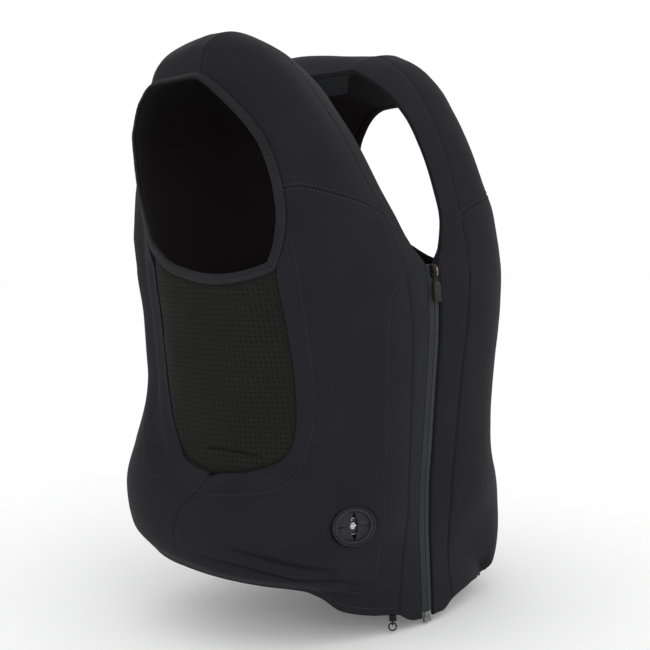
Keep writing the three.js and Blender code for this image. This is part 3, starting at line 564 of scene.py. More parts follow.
# The last of these sets how dark the painted shade along the panels' seams gets.
SEAM_DEEP, RIM_DEEP, SEAM_SHADE = 0.3, 0.35, 0.6
PUCKER, PUCKER_WIDE, PUCKER_RATE = 0.1, 6, 0.9
RIDGE_SHARE, RIDGE_OFF, RIDGE_WIDE = 0.75, 2.6, 1.6
MESH_FLUSH, LEAST_THICK = 2.0, 0.9
RIM_STEPS = (0.35, 0.9, 1.7, 2.7, 4.0)


def undulation(points):
    """Small uneven swells of padded cloth."""
    x, y, z = (points[..., k] for k in range(3))
    broad = np.sin(x / 23 + 1.3) * np.sin(z / 31 + 0.4) + np.sin(z / 19 - y / 27 + 2.1)
    small = np.sin(x / 7.1 + z / 9.7) * np.sin(z / 11.3 - y / 8.9 + 0.7)
    return 0.35 * broad + 0.12 * small


def from_port(points):
    """Distance from the middle of the oval port, as on a round one."""
    out = outward(GROMMET_ANGLE, GROMMET_RISE).reshape(3)
    level = unit(np.cross(-out, [0, 0, 1.0]))
    axes = np.stack([level, np.cross(level, -out), out], 1)
    return np.linalg.norm((points - over(GROMMET_ANGLE, GROMMET_RISE)) @ axes / GROMMET_OVAL, axis=-1)


def panel(name, shares, levels, spot, side, node, look, lines=(), folds=(), port=False):
    """Padded panel: a dense grid between its inside and its outside, with seams and sewn lines."""
    share, level = np.meshgrid(shares, levels)
    angle, rise = spot(share, level)
    inner, out = wall(angle, rise), outward(angle, rise)
    up = thickness(angle, rise)
    shape = inner + out * up[..., None]
    across, along = lengths(shape, 1), lengths(shape, 0)
    rim_side = np.minimum(across, across[:, -1:] - across)
    rim = np.minimum(rim_side, np.minimum(along, along[-1:] - along))
    relief = undulation(shape) * smooth(rim, 2, 25) * smooth(up, 4, 14)
    relief -= SEAM_DEEP * (1 - smooth(rim, 0, 6)) * smooth(up, 3, 7) + RIM_DEEP * (1 - smooth(rim, 0, 1.1))
    # Painted shade along the panel's seams, and below along its creases and round the port, kept in the seam
    # attribute.
    seam = SEAM_SHADE * bell(rim, 0.7)
    for line, deep, wide in lines:
        gap, run = apart(shape, over(*traced(line)))
        pucker = PUCKER * bell(gap, PUCKER_WIDE) * np.sin(run * PUCKER_RATE) * smooth(up, 4, 12)
        relief -= deep * bell(gap, wide) + pucker
    for line, deep, wide in folds:
        path = over(*traced(line))
        path_run = run_along(path)
        gap, run = apart(shape, path)
        fade = np.sin(np.clip(run / path_run[-1], 0, 1) * math.pi) ** 0.7
        above = (gap > 0) & (shape[..., 2] > np.interp(run, path_run, path[:, 2]))
        ridge = RIDGE_SHARE * bell(gap - RIDGE_OFF * wide, RIDGE_WIDE * wide) * above
        relief += fade * deep * (ridge - bell(gap, wide))
        # Painted shade along the crease.
        seam = np.maximum(seam, SEAM_SHADE * fade * bell(gap, 1.3))
    if port:
        reach = from_port(shape)
        relief *= smooth(reach, 18, 34)
        relief -= PORT_BED * (1 - smooth(reach, GROMMET_OUTER - 1.4, GROMMET_OUTER + 0.4))
        # Painted shade where the cloth dips under the port's ring.
        seam = np.maximum(seam, 0.9 * bell(reach - GROMMET_OUTER - 0.4, 1.2))
    along_mesh = smooth(rise, 0.26, 0.3) * (1 - smooth(rise, 0.56, 0.6))
    from_side = across[:, -1:] - across if spot is front_spot else rim_side
    flush = along_mesh * (1 - smooth(from_side, 0, FLANGE)) * (share.max() > 1 or spot is back_spot)
    height = lerp(up + relief, np.minimum(up + relief, MESH_FLUSH), flush)
    seam *= 1 - along_mesh * (1 - smooth(from_side, 0, 4))
    outer = inner + out * np.maximum(height, LEAST_THICK)[..., None]
    for grid, gap in ((inner, SEAM_CLOSED), (outer, SEAM_GAP)):
        for lines_of in (grid.swapaxes(0, 1), grid):
            for edge, inset in ((0, 1), (-1, -2)):
                lines_of[edge] += unit(lines_of[inset] - lines_of[edge]) * gap
    points, faces = slab(outer, inner)
    painted_shade = np.r_[seam.ravel(), np.zeros(seam.size)]
    front = (len(levels) - 1) * (len(shares) - 1)
    piece = make(name, PLACE[side](points), faces, look, [node],
                 both_faces(across, along), painted_shade, np.arange(front, 2 * front))


def rimmed(even, total):
    """Distances across a panel, with closer ones added at both ends."""
    return np.r_[0, RIM_STEPS, even, total - np.array(RIM_STEPS[::-1]), total]


def spread(spot, tracks, start, end, pitch):
    """Levels whose rows lie about a pitch apart, closer towards both ends."""
    levels = np.linspace(start, end, 1600)
    lines = [wall(*spot(track, levels)) for track in tracks]
    run = np.r_[0, np.cumsum(np.max([np.linalg.norm(np.diff(line, axis=0), axis=1) for line in lines], axis=0))]
    even = np.linspace(0, run[-1], int(run[-1] / pitch) + 1)
    even = even[(even > 5) & (even < run[-1] - 5)]
    return np.interp(rimmed(even, run[-1]), run, levels)


def columns_of(start, end, wide, pitch):
    """Shares across a panel of a usual width, closer towards both sides."""
    return lerp(start, end, rimmed(np.arange(5 + pitch / 2, wide - 5, pitch), wide) / wide)


PITCH = 2.0
BACK_PITCH = 1.5 * PITCH
FRONT_SHARES = columns_of(1, 2, 125, PITCH)
BAND_SHARES = columns_of(0, 1, 26, PITCH)
BACK_SHARES = columns_of(1, -1, 400, BACK_PITCH)
FRONT_LEVELS = spread(front_spot, (1, 1.5, 2), SIDE_HEM, CHEST, PITCH)
YOKE_LEVELS = spread(front_spot, (1, 1.5, 2), CHEST, 1, PITCH)
BAND_LEVELS = spread(front_spot, (0, 1), SIDE_HEM, 1, PITCH)
BACK_LEVELS = spread(back_spot, (0, 0.5, 1), SIDE_HEM, 1, BACK_PITCH)


def beside_edge(edge_rise, turns, off):
    """Spots at a rise above or below an edge that runs round the body."""
    return [(turn, float(edge_rise(turn)) + off) for turn in turns]


CHEST_TURNS, CHEST_INSET, HEM_INSET = np.linspace(14, 46, 9), 0.0045, 0.011
YOKE_LINE = beside_edge(chest_rise, CHEST_TURNS, CHEST_INSET)
CHEST_LINE = beside_edge(chest_rise, CHEST_TURNS, -CHEST_INSET)
HEM_LINE = beside_edge(hem_rise, np.linspace(12, 86, 16), HEM_INSET)
BACK_HEM_LINE = beside_edge(hem_rise, np.linspace(88, 180, 14), HEM_INSET)
MIRROR_LINE = [(360 - angle, rise) for angle, rise in FLANGE_LINE]
FLANGE_CUT, POCKET_CUT, CHEST_CUT = (0.5, 2.4), (0.45, 2.0), (0.25, 1.6)  # depth, width

for side in ("right", "left"):
    rows, creases = [(FLANGE_LINE, *FLANGE_CUT)], []
    if side == "right":
        rows.append((POCKET_LINE, *POCKET_CUT))
        creases = [(FOLD_LINE, 2.8, 2.2), (POCKET_LINE[9:], 2.2, 2.0)]
    rows.append((CHEST_LINE, *CHEST_CUT))
    panel(f"{side}_front", FRONT_SHARES, FRONT_LEVELS, front_spot, side, f"{side}_front_panel", SHELL,
          rows, creases, side == "right")
    panel(f"{side}_shoulder", FRONT_SHARES, YOKE_LEVELS, front_spot, side, f"{side}_yoke", SHELL,
          [(YOKE_LINE, *CHEST_CUT)])
    panel(f"{side}_band", BAND_SHARES, BAND_LEVELS, front_spot, side, f"{side}_front_band", BAND)
panel("back", BACK_SHARES, BACK_LEVELS, back_spot, "left", "back_panel", SHELL,
      [(FLANGE_LINE[8:], *FLANGE_CUT), (MIRROR_LINE[8:], *FLANGE_CUT)])


# Stitching

STITCH_SIDES = 6
# place along a stitch, girth and height there
STITCH = np.array([(-0.5, 0.25, -0.9), (-0.38, 0.8, -0.3), (0, 1, 0.25), (0.38, 0.8, -0.3), (0.5, 0.25, -0.9)])


def stitches(name, lines, side, long=2.0, gap=1.5, thick=0.62, lift=0.12, sway=0.0, look=THREAD):
    """Row of sewn stitches along lines of points, each line with its directions out of the cloth."""
    turn = turns_of(STITCH_SIDES)
    along, girth, dip = STITCH.T[..., None]
    points, faces, flat = [], [], []
    for line, outs in lines:
        run = run_along(line)
        for count, at in enumerate(np.arange(0.5 * long, run[-1] - 0.5 * long, long + gap)):
            before, centre, after = at_run(np.array([at - 0.8, at, at + 0.8]), run, line)
            ahead, out = unit(after - before), unit(at_run(at, run, outs))
            way = unit(ahead + sway * (1 if count % 2 else -1) * unit(np.cross(ahead, out)))
            off = unit(np.cross(way, out))
            spine = centre + out * lift + along * long * way + dip * thick * out
            around = np.cos(turn)[:, None] * off + 0.6 * np.sin(turn)[:, None] * out
            faces += tube_faces(len(STITCH), STITCH_SIDES, base=len(points) * len(STITCH) * STITCH_SIDES)
            points.append((spine[:, None] + girth[..., None] * thick * around).reshape(-1, 3))
            flat.append(np.stack(np.meshgrid(turn * thick, at + along[:, 0] * long), -1).reshape(-1, 2))
    make(name, PLACE[side](np.concatenate(points)), faces, look, flat=np.concatenate(flat), sharp=80)


def sewn(spots, lift=0.0, uneven=0.0):
    """Line of points on the panels' outside, with the directions out of it."""
    angle, rise = traced(spots, 3.0)
    line, out = over(angle, rise, lift), outward(angle, rise)
    wave = uneven * undulation(line) * smooth(thickness(angle, rise), 4, 14)
    return line + out * wave[:, None], out


def beside(edge_angle, rises, shift, lift):
    """Line beside a seam, moved round the body by a number of mm."""
    angles = edge_angle(rises)
    span = np.linalg.norm(wall(angles + 0.5, rises) - wall(angles - 0.5, rises), axis=-1)
    angles = angles + shift / span
    return over(angles, rises, lift), outward(angles, rises)


for side in ("right", "left"):
    rows = [sewn(FLANGE_LINE[:9], -0.4, 0.8), sewn(CHEST_LINE, -0.25), sewn(YOKE_LINE, -0.25),
            sewn(HEM_LINE, -0.1)]
    if side == "right":
        rows += [sewn(POCKET_LINE[:11], -0.35, 1.0), sewn(SECOND_LINE, 0.0, 1.0)]
    stitches(f"{side}_front_stitching", rows, side, look=PALE_THREAD)
    rows = [beside(band_angle, np.linspace(0.026, 0.56, 140), 2.0, -0.15),
            beside(neck_angle, np.linspace(0.02, 0.585, 140), 1.6, -0.15)]
    stitches(f"{side}_edge_stitching", rows, side, 1.6, 1.2, 0.72, 0.2)
    rows = [sewn(FLANGE_LINE[8:], -0.4, 0.8), sewn(BACK_HEM_LINE, -0.1)]
    stitches(f"{side}_back_stitching", rows, side, look=PALE_THREAD)


# Armhole bindings

BIND_THICK, BIND_LINED, BIND_RINGS, BIND_ROWS = 4.4, 11, 300, (1.7, 3.2)
# distance into the armhole, height over the wall
BIND_SECTION = np.array([
    (-0.35, 0.4), (-0.35, 2.0), (0.28, 3.5), (1.2, 4.15), (2.4, 4.3), (3.2, 4.05), (4.0, 4.3), (5.6, 4.45),
    (7.2, 4.3), (8.6, 3.7), (9.4, 2.6), (9.6, 1.6), (9.2, 0.5), (8.2, -0.3), (5.5, -0.45), (2.5, -0.4),
    (0.5, -0.3),
])


def mesh_edge(shares):
    """Angles and rises along the top of the left side mesh."""
    rises = mesh_top(shares)
    return lerp(front_angle(rises), back_angle(rises), shares), rises


def armhole():
    """Angles and rises round the left armhole: up the front, down the back, forward over the mesh."""
    front = front_spot(2.0, np.linspace(MESH_HEAD, 1, 90))
    back = back_spot(1.0, np.linspace(1, 0.6, 90)[1:])
    return [np.r_[parts] for parts in zip(front, back, mesh_edge(np.linspace(1, 0, 60)[1:-1]))]


def ring_smooth(points, passes):
    for _ in range(passes):
        points = 0.5 * points + 0.25 * (np.roll(points, 1, axis=0) + np.roll(points, -1, axis=0))
    return points


def binding(side):
    """Folded binding round an armhole, with its two rows of stitches."""
    angle, rise = armhole()
    line, out = wall(angle, rise), outward(angle, rise)
    line, out = np.r_[line, line[:1]], np.r_[out, out[:1]]
    run = run_along(line)
    at = np.linspace(0, run[-1], BIND_RINGS, endpoint=False)
    line, out = ring_smooth(at_run(at, run, line), 5), unit(ring_smooth(at_run(at, run, out), 12))
    ahead = unit(np.roll(line, -1, axis=0) - np.roll(line, 1, axis=0))
    inside = unit(np.cross(ahead, out))
    inside *= np.sign(((line.mean(0) - line) * inside).sum(1, keepdims=True))
    wave = 0.12 * np.sin(at * 1.9) + 0.1 * np.sin(at * 0.37 + 1)
    reach, height = BIND_SECTION.T
    heights = height + wave[:, None] * np.clip(height / BIND_THICK, 0, 1)
    rings = line[:, None] + reach[:, None] * inside[:, None] + heights[..., None] * out[:, None]
    sides = len(BIND_SECTION)
    flat = np.stack(np.meshgrid(run_along(BIND_SECTION), at), -1).reshape(-1, 2)
    # Painted shade along the binding's fold into the armhole.
    painted_shade = np.tile(bell(reach - 9.4, 1.5) * 0.5, BIND_RINGS)
    lined = np.flatnonzero(np.arange(BIND_RINGS * sides) % sides >= BIND_LINED)
    make(f"{side}_binding", PLACE[side](rings.reshape(-1, 3)), tube_faces(BIND_RINGS, sides, True), BINDING,
         [f"{side}_armhole_binding"], flat, painted_shade, lined, sharp=70)
    loop = np.r_[np.arange(BIND_RINGS), 0]
    rows = [(line[loop] + inside[loop] * off + out[loop] * 4.2, out[loop]) for off in BIND_ROWS]
    stitches(f"{side}_binding_stitching", rows, side, 2.2, 1.0, 0.46, 0.34, 0.55, PALE_THREAD)


binding("right")
binding("left")


# Perforated side meshes, laid flat by length round the body from 75 degrees and by rise

HOLE_PITCH, HOLE_SHEAR, HOLE_RADIUS, HOLE_INSET = 4.9, 0.45, 0.7, 3.6
MESH_THICK, MESH_TUCK = 0.9, 2.6
LAY_RISES, LAY_ANGLES, LAY_ZERO = np.linspace(0.235, 0.62, 78), np.linspace(38, 128, 181), 75
LAY = lengths(wall(LAY_ANGLES[None], LAY_RISES[:, None]), 1)
LAY = LAY - np.array([np.interp(LAY_ZERO, LAY_ANGLES, row) for row in LAY])[:, None]


def lay_rows(rise):
    """Flat lengths at each of the layout's angles, for each rise."""
    at = np.clip((rise - LAY_RISES[0]) / (LAY_RISES[1] - LAY_RISES[0]), 0, len(LAY_RISES) - 1.001)
    low = at.astype(int)
    return lerp(LAY[low], LAY[low + 1], (at - low)[:, None])


def to_flat(angle, rise):
    """Flat place, in mm, of angles and rises on the side mesh."""
    value = [np.interp(a, LAY_ANGLES, row) for a, row in zip(angle, lay_rows(rise))]
    return np.stack([value, rise * FRONT_LENGTH], -1)


def from_flat(places):
    rise = places[:, 1] / FRONT_LENGTH
    return np.array([np.interp(s, row, LAY_ANGLES) for s, row in zip(places[:, 0], lay_rows(rise))]), rise


def flat_apart(places, ring):
    """Distance of flat places from a closed ring, negative outside it."""
    ring = np.r_[ring, ring[:1]]
    gap = apart(places, ring)[0]
    odd = np.zeros(len(places), bool)
    x, y = places.T
    for (ax, ay), (bx, by) in zip(ring[:-1], ring[1:]):
        slant = (bx - ax) / (by - ay if by != ay else 1e-9)
        odd ^= ((ay > y) != (by > y)) & (x < ax + (y - ay) * slant)
    return np.where(odd, gap, -gap)


def pierced(ring, holes, loose=()):
    """Flat triangles inside a ring and outside the rings of its holes, through some loose points too."""
    spots = [ring, *holes]
    sizes = [len(s) for s in spots]
    starts = np.r_[0, np.cumsum(sizes)]
    edges = [(int(b + k), int(b + (k + 1) % n)) for b, n in zip(starts, sizes) for k in range(n)]
    corners = np.concatenate(spots + [loose] if len(loose) else spots)
    made = delaunay_2d_cdt([tuple(map(float, p)) for p in corners], edges, [], 0, 1e-6)
    places = np.array([tuple(v) for v in made[0]])
    faces = np.array([list(f) for f in made[2]])
    middle = places[faces].mean(1)
    keep = flat_apart(middle, ring) > 0
    for hole in holes:
        centre = hole.mean(0)
        near = np.linalg.norm(middle - centre, axis=1) < np.linalg.norm(hole - centre, axis=1).max()
        keep[near] &= flat_apart(middle[near], hole) < 0
    return places, faces[keep]


def thick_sheet(faces, count):
    """Both faces of a sheet of triangles and the walls between them."""
    pairs = np.concatenate([faces[:, [0, 1]], faces[:, [1, 2]], faces[:, [2, 0]]])
    _, first, uses = np.unique(np.sort(pairs, axis=1), axis=0, return_index=True, return_counts=True)
    rim = pairs[first[uses == 1]]
    walls = np.stack([rim[:, 0], rim[:, 1], rim[:, 1] + count, rim[:, 0] + count], 1)
    return faces.tolist() + (faces[:, ::-1] + count).tolist() + walls.tolist()


def mesh_ring():
    """Flat ring of the left side mesh: up the front, back along the top and down the back."""
    rises = np.r_[np.linspace(MESH_FOOT, 0.3, 30), np.linspace(0.305, MESH_HEAD, 40)]
    high = np.linspace(MESH_HEAD, 0.6, 5)
    front = to_flat(front_angle(rises), rises)
    top = to_flat(*mesh_edge(np.linspace(1, 0, 40)[1:-1]))
    backs = [to_flat(back_angle(part), part)[::-1] for part in (high, rises)]
    return np.concatenate([front[:-1], top[::-1], *backs])


def ring_area(ring):
    x, y = ring.T
    return 0.5 * np.sum(x * np.roll(y, -1) - y * np.roll(x, -1))


def grown(ring, by):
    """Flat ring moved outwards."""
    ahead = np.roll(ring, -1, axis=0) - np.roll(ring, 1, axis=0)
    normal = unit(np.stack([ahead[:, 1], -ahead[:, 0]], -1))
    return ring + normal * by * np.sign(ring_area(ring))


MESH_RING = mesh_ring()
columns, rows = np.meshgrid(np.arange(-34, 26), np.arange(30, 80))
lattice = np.stack([columns * HOLE_PITCH + rows * HOLE_SHEAR, rows * HOLE_PITCH], -1).reshape(-1, 2)
lattice = lattice[flat_apart(lattice, MESH_RING) > HOLE_INSET]
HOLE = HOLE_RADIUS * around(8, math.pi / 8)
# A crease near the foot of the mesh, from front to back, with points of its own beside it
CREASE_SPOTS = np.array([(57.6, 0.2825), (61.5, 0.2851), (68.7, 0.2895), (77.2, 0.293), (84.1, 0.2895)])
crease = to_flat(*CREASE_SPOTS.T)
crease_s = np.linspace(crease[0, 0], crease[-1, 0], 36)
crease_h = np.interp(crease_s, *crease.T)
beads = np.concatenate([np.stack([crease_s, crease_h + off], -1) for off in (-3.0, -1.2, 0.0, 1.2, 3.0)])
hole_gap = np.min(np.linalg.norm(beads[:, None] - lattice[None], axis=-1), axis=1)
SHEET_PLACES, SHEET_FACES = pierced(grown(MESH_RING, MESH_TUCK), [centre + HOLE for centre in lattice],
                                    beads[hole_gap > 1.1])


def perforated(side):
    """Side mesh, tucked a little under its neighbours."""
    angle, rise = from_flat(SHEET_PLACES)
    base, out = wall(angle, rise), outward(angle, rise)
    depth = flat_apart(SHEET_PLACES, MESH_RING)
    s, h = SHEET_PLACES.T
    fold = h - np.interp(s, crease_s, crease_h)
    faded = smooth(s, crease_s[0], crease_s[0] + 14) * (1 - smooth(s, crease_s[-1] - 8, crease_s[-1]))
    slack = (0.5 * np.sin(s / 17 + h / 29) + 0.3 * np.sin(h / 12 - s / 41 + 1)) * smooth(depth, 3, 22)
    slack += faded * (1.3 * bell(fold - 4, 3.4) - 1.9 * bell(fold, 1.0))
    lie = lerp(-1.5, 0.9, smooth(depth, -0.45, 0.75)) + slack * smooth(depth, 0, 6)
    layers = [base + out * (lie + up)[:, None] for up in (MESH_THICK, 0)]
    # Painted shade where the mesh tucks under the panels and along the valley of its crease.
    painted_shade = np.tile(np.maximum(0.15 * bell(depth, 2), 0.9 * faded * bell(fold, 0.9)), 2)
    piece = make(f"{side}_mesh", PLACE[side](np.concatenate(layers)), thick_sheet(SHEET_FACES, len(SHEET_PLACES)),
                 MESH, [f"{side}_side_mesh"], np.tile(SHEET_PLACES, (2, 1)), painted_shade)


perforated("right")
perforated("left")


# Zip

ZIP_BOTTOM, ZIP_TOP, ZIP_SUNK, CHAIN_THICK = 0.01, 0.573, 3.0, 2.4
TAPE_THICK, TAPE_EDGES, TAPE_CLEAR = 0.7, (7.7, 14.0), 0.5
# distance from the middle, height of the tape's face
TAPE_SECTION = [
    (0.45, 1.6), (0.55, 2.05), (0.9, 2.38), (1.5, 2.45), (2.4, 2.4), (3.1, 2.15), (3.7, 1.75), (4.4, 1.5),
    (5.6, 1.45), (6.9, 1.4), (7.6, 1.3),
]
COIL_PITCH, COIL_SIDES = 1.5, 6
# distance from the middle, height and girth of a turn of the coil, then the section of its core
COIL_TURN = [(2.6, 0.45, 0.3), (2.2, 1.05, 0.36), (0.8, 1.2, 0.4), (-0.5, 1.1, 0.42), (-0.9, 0.7, 0.2)]
CORE = np.array([(-2.6, 0.1), (2.6, 0.1), (2.6, 0.5), (0, 0.7), (-2.6, 0.5)])


def zip_height(rise):
    return thickness(neck_angle(rise), rise) - ZIP_SUNK


def zip_line(count):
    """Rises along the zip, its points and the directions out of it."""
    rises = np.linspace(ZIP_BOTTOM, ZIP_TOP, count)
    out = outward(0, rises)
    return rises, wall(0, rises) + out * zip_height(rises)[:, None], out


def tape(side):
    """Woven tape: a thin strip that rolls up over its half of the coil."""
    rises, line, out = zip_line(180)
    x, bow = np.array(TAPE_SECTION).T
    behind = np.stack([-zip_height(rises) - TAPE_CLEAR] * 2, 1)
    up = np.concatenate([np.tile(bow, (len(rises), 1)), behind], axis=1)
    grids = [line[:, None] + (up + lift)[..., None] * out[:, None] for lift in (0.0, -TAPE_THICK)]
    x = np.r_[x, TAPE_EDGES]
    for grid in grids:
        grid[..., 0] = x
    run = run_along(line)
    points, faces = slab(*grids)
    piece = make(f"{side}_tape", PLACE[side](points), faces, TAPE, [f"{side}_zip_tape"],
                 both_faces(*np.meshgrid(x, run)))


def coil():
    """Two rows of meshed coil turns on a core."""
    _, line, out = zip_line(2000)
    run = run_along(line)
    turn = turns_of(COIL_SIDES)
    points, faces = [], []
    for count, at in enumerate(np.arange(COIL_PITCH / 2, run[-1] - COIL_PITCH / 2, COIL_PITCH / 2)):
        centre, up = at_run(at, run, line), unit(at_run(at, run, out))
        ring = np.cos(turn)[:, None] * unit(np.cross(up, [1.0, 0, 0])) + np.sin(turn)[:, None] * up
        hand = np.array([1.0 if count % 2 else -1.0, 0, 0])
        faces += tube_faces(len(COIL_TURN), COIL_SIDES, base=len(points) * len(COIL_TURN) * COIL_SIDES)
        points.append(np.concatenate([centre + x * hand + h * up + r * ring for x, h, r in COIL_TURN]))
    rises, line, out = zip_line(120)
    core = line[:, None] + CORE[:, 1:] * out[:, None]
    core[..., 0] += CORE[:, 0]
    faces += tube_faces(len(rises), len(CORE), base=sum(map(len, points)))
    points.append(core.reshape(-1, 3))
    make("zip_coil", np.concatenate(points), faces, COIL, ["zip_chain"], sharp=60)


tape("right")
tape("left")
coil()


# Small solid pieces

def seat(angle, rise, up, side=1):
    """Frame on the vest: its -Y points out and its Z runs up the vest."""
    flip = np.array([side, 1, 1])
    out = outward(angle, rise).reshape(3) * flip
    spot = wall(angle, rise).reshape(3) * flip + out * up
    across = unit(np.cross(-out, [0, 0, 1.0]))
    return spot, np.stack([across, -out, np.cross(across, -out)])


def placed(points, where):
    spot, axes = where
    return np.asarray(points, float) @ axes + spot


def rounded_block(low, high, ease, steps=3):
    """Points and faces of a box with eased edges."""
    shaped = bmesh.new()
    bmesh.ops.create_cube(shaped, size=1)
    low, high = np.array(low, float), np.array(high, float)
    for vert in shaped.verts:
        vert.co = (low + high) / 2 + np.array(vert.co) * (high - low)
    bmesh.ops.bevel(shaped, geom=shaped.edges[:], offset=ease, segments=steps, profile=0.5, affect="EDGES")
    shaped.verts.index_update()
    points = np.array([tuple(v.co) for v in shaped.verts])
    faces = [[v.index for v in f.verts] for f in shaped.faces]
    shaped.free()
    return points, faces


def swept(path, radius, sides=12, closed=False):
    """Points and faces of a round bar along a path."""
    path = np.asarray(path, float)
    ahead = np.roll(path, -1, axis=0) - np.roll(path, 1, axis=0) if closed else np.gradient(path, axis=0)
    ahead = unit(ahead)
    side = unit(np.cross(ahead, SWEEP_GUIDE))
    up = np.cross(side, ahead)
    turn = turns_of(sides)[None, :, None]
    rings = path[:, None] + radius * (np.cos(turn) * side[:, None] + np.sin(turn) * up[:, None])
    return rings.reshape(-1, 3), tube_faces(len(path), sides, closed)


def turned(profile, sides=64):
    """Points and faces of a closed profile of radius and height turned about Z."""
    profile = np.array(profile, float)
    ways = np.c_[around(sides), np.ones(sides)]
    rings = ways[:, None] * profile[None][..., [0, 0, 1]]
    return rings.reshape(-1, 3), tube_faces(sides, len(profile), True)


def together(*parts):
    points, faces = [], []
    for spots, polygons in parts:
        base = sum(len(p) for p in points)
        points.append(np.asarray(spots, float))
        faces += [[int(k) + base for k in polygon] for polygon in polygons]
    return np.concatenate(points), faces


def round_profile(corners, ease, steps=4):
    """Closed profile with eased corners."""
    corners = np.array(corners, float)
    made = []
    for i, corner in enumerate(corners):
        before, after = corners[i - 1] - corner, corners[(i + 1) % len(corners)] - corner
        reach = min(ease, np.linalg.norm(before) / 2.2, np.linalg.norm(after) / 2.2)
        a, b = corner + unit(before) * reach, corner + unit(after) * reach
        for u in np.linspace(0, 1, steps):
            made.append((1 - u) ** 2 * a + 2 * u * (1 - u) * corner + u * u * b)
    return np.array(made)


def upright(profile, y=0.0):
    """Flat profile stood up across the seat, at a distance behind its face."""
    return np.stack([profile[:, 0], np.full(len(profile), y), profile[:, 1]], 1)


def box_profile(half, low, high, ease, steps):
    return round_profile([(-half, high), (half, high), (half, low), (-half, low)], ease, steps)


def fitting(name, where, parts, look, nodes=(), sharp=35, body="vest"):
    """Small piece of one or more parts, on a seat."""
    points, faces = together(*parts)
    make(name, placed(points, where), faces, look, nodes, body=body, sharp=sharp)


SWEEP_GUIDE = np.array([0.31, 0.2, 0.93])

# Slider and pull, zero at the hinge bar
SLIDER_THICK, SLIDER_BELOW, CROWN_PROUD, CROWN_BAR = 2.2, 0.012, 4.3, 1.3
HINGE_HEIGHT = SLIDER_THICK + (CROWN_PROUD - CROWN_BAR) / 2
slider_rise = np.array(ZIP_TOP - SLIDER_BELOW)
slider_seat = seat(0.0, slider_rise, float(zip_height(slider_rise)) + CHAIN_THICK + 2 * FIT + HINGE_HEIGHT)
face = HINGE_HEIGHT - SLIDER_THICK
crown = np.array([(0, face + 0.3, -3.9), (0, face - 2.2, -3.9), (0, face - 3.5, -2.6), (0, face - 3.65, 0.4),
                  (0, face - 3.5, 3.6), (0, face - 2.2, 4.8), (0, face + 0.3, 4.8)])
crown_table = np.c_[run_along(crown), crown]
crown_at = np.linspace(0, crown_table[-1, 0], 24)
crown_points, crown_faces = swept(np.stack([curve(crown_table, k)(crown_at) for k in (1, 2, 3)], 1), 0.6, 10)
crown_points = crown_points * np.array([1.8, 1, 1])
fitting("zip_slider_body", slider_seat, [
    rounded_block((-4.2, face, -6.0), (4.2, HINGE_HEIGHT, 7.0), 0.55),
    rounded_block((-3.0, face - 0.35, -4.8), (3.0, face + 0.4, 5.8), 0.3),
], GUNMETAL, ["zip_slider"])
fitting("zip_slider_crown", slider_seat, [(crown_points, crown_faces)], BRASS)

PULL_NECK, PULL_LONG, PULL_HALF, NECK_HALF, NECK_SLOPE = 10.0, 30.0, 5.0, 3.4, 2.6
GRIP_LAYERS = [(-1.5, 0.90), (-1.35, 0.965), (-0.9, 1.0), (0.9, 1.0), (1.35, 0.965), (1.5, 0.90)]  # place, share
link_bar = swept(upright(box_profile(2.6, -11.5, 0, 1.4, 6)), 0.8, 10, True)
half_grip = [(NECK_HALF, -PULL_NECK), (PULL_HALF, -PULL_NECK - NECK_SLOPE), (PULL_HALF, -PULL_LONG)]
grip = round_profile([(-NECK_HALF, -PULL_NECK), *half_grip, *((-x, z) for x, z in half_grip[:0:-1])], 0.9, 5)
middle = np.array([0, -(PULL_NECK + PULL_LONG) / 2])
grip_points = np.concatenate([upright(lerp(middle, grip, share), y) for y, share in GRIP_LAYERS])
frame_bar = swept(upright(box_profile(3.5, -28.5, -14.0, 1.0, 5), -1.42), 0.3, 8, True)
grip_shape = (grip_points, tube_faces(len(GRIP_LAYERS), len(grip)))
fitting("zip_pull_tab", slider_seat, [link_bar, grip_shape, frame_bar], PULL, ["zip_pull"],
        body="pull")

end_seat = seat(0.0, ZIP_BOTTOM, float(zip_height(np.array(ZIP_BOTTOM))) + CHAIN_THICK / 2)
fitting("zip_end", end_seat, [
    rounded_block((-4.5, -2.1, -11.0), (4.5, 2.1, -0.3), 0.7),
    rounded_block((-3.4, -2.35, -9.6), (-1.0, -1.9, -1.4), 0.25, 2),
    rounded_block((1.0, -2.35, -9.6), (3.4, -1.9, -1.4), 0.25, 2),
], TIN, ["zip_end_box"])

# Small slider with a ring at the hem beside the right band seam, zero at the ring's hinge
FOOT_SHARE, FOOT_TURN, FOOT_DROP = 1.03, math.radians(-40), 1.45 + 6 + 3 * FIT
EYE_RADIUS, RING_RADIUS = 2.05, 3.8
foot_spot = mirrored(wall(*front_spot(FOOT_SHARE, SIDE_HEM)).reshape(3)) + np.array([0, -CLOTH / 2, -FOOT_DROP])
cosine, sine = math.cos(FOOT_TURN), math.sin(FOOT_TURN)
foot_seat = (foot_spot, np.array([[cosine, sine, 0], [-sine, cosine, 0], [0, 0, 1]]))
fitting("foot_slider_body", foot_seat, [
    rounded_block((-3.5, -2.2, 2.05), (3.5, 2.2, 8.0), 0.8),
    rounded_block((-2.3, -2.45, 2.9), (2.3, -2.0, 6.6), 0.25, 2),
    swept(EYE_RADIUS * np.c_[np.zeros(28), around(28)], 0.62, 8, True),
], GUNMETAL, ["foot_slider"])
foot_wire = swept(upright(RING_RADIUS * (around(48) - [0, 1])), 0.75, 12, True)
fitting("foot_pull_ring", foot_seat, [foot_wire], GUNMETAL, ["foot_ring"], 80, "ring")

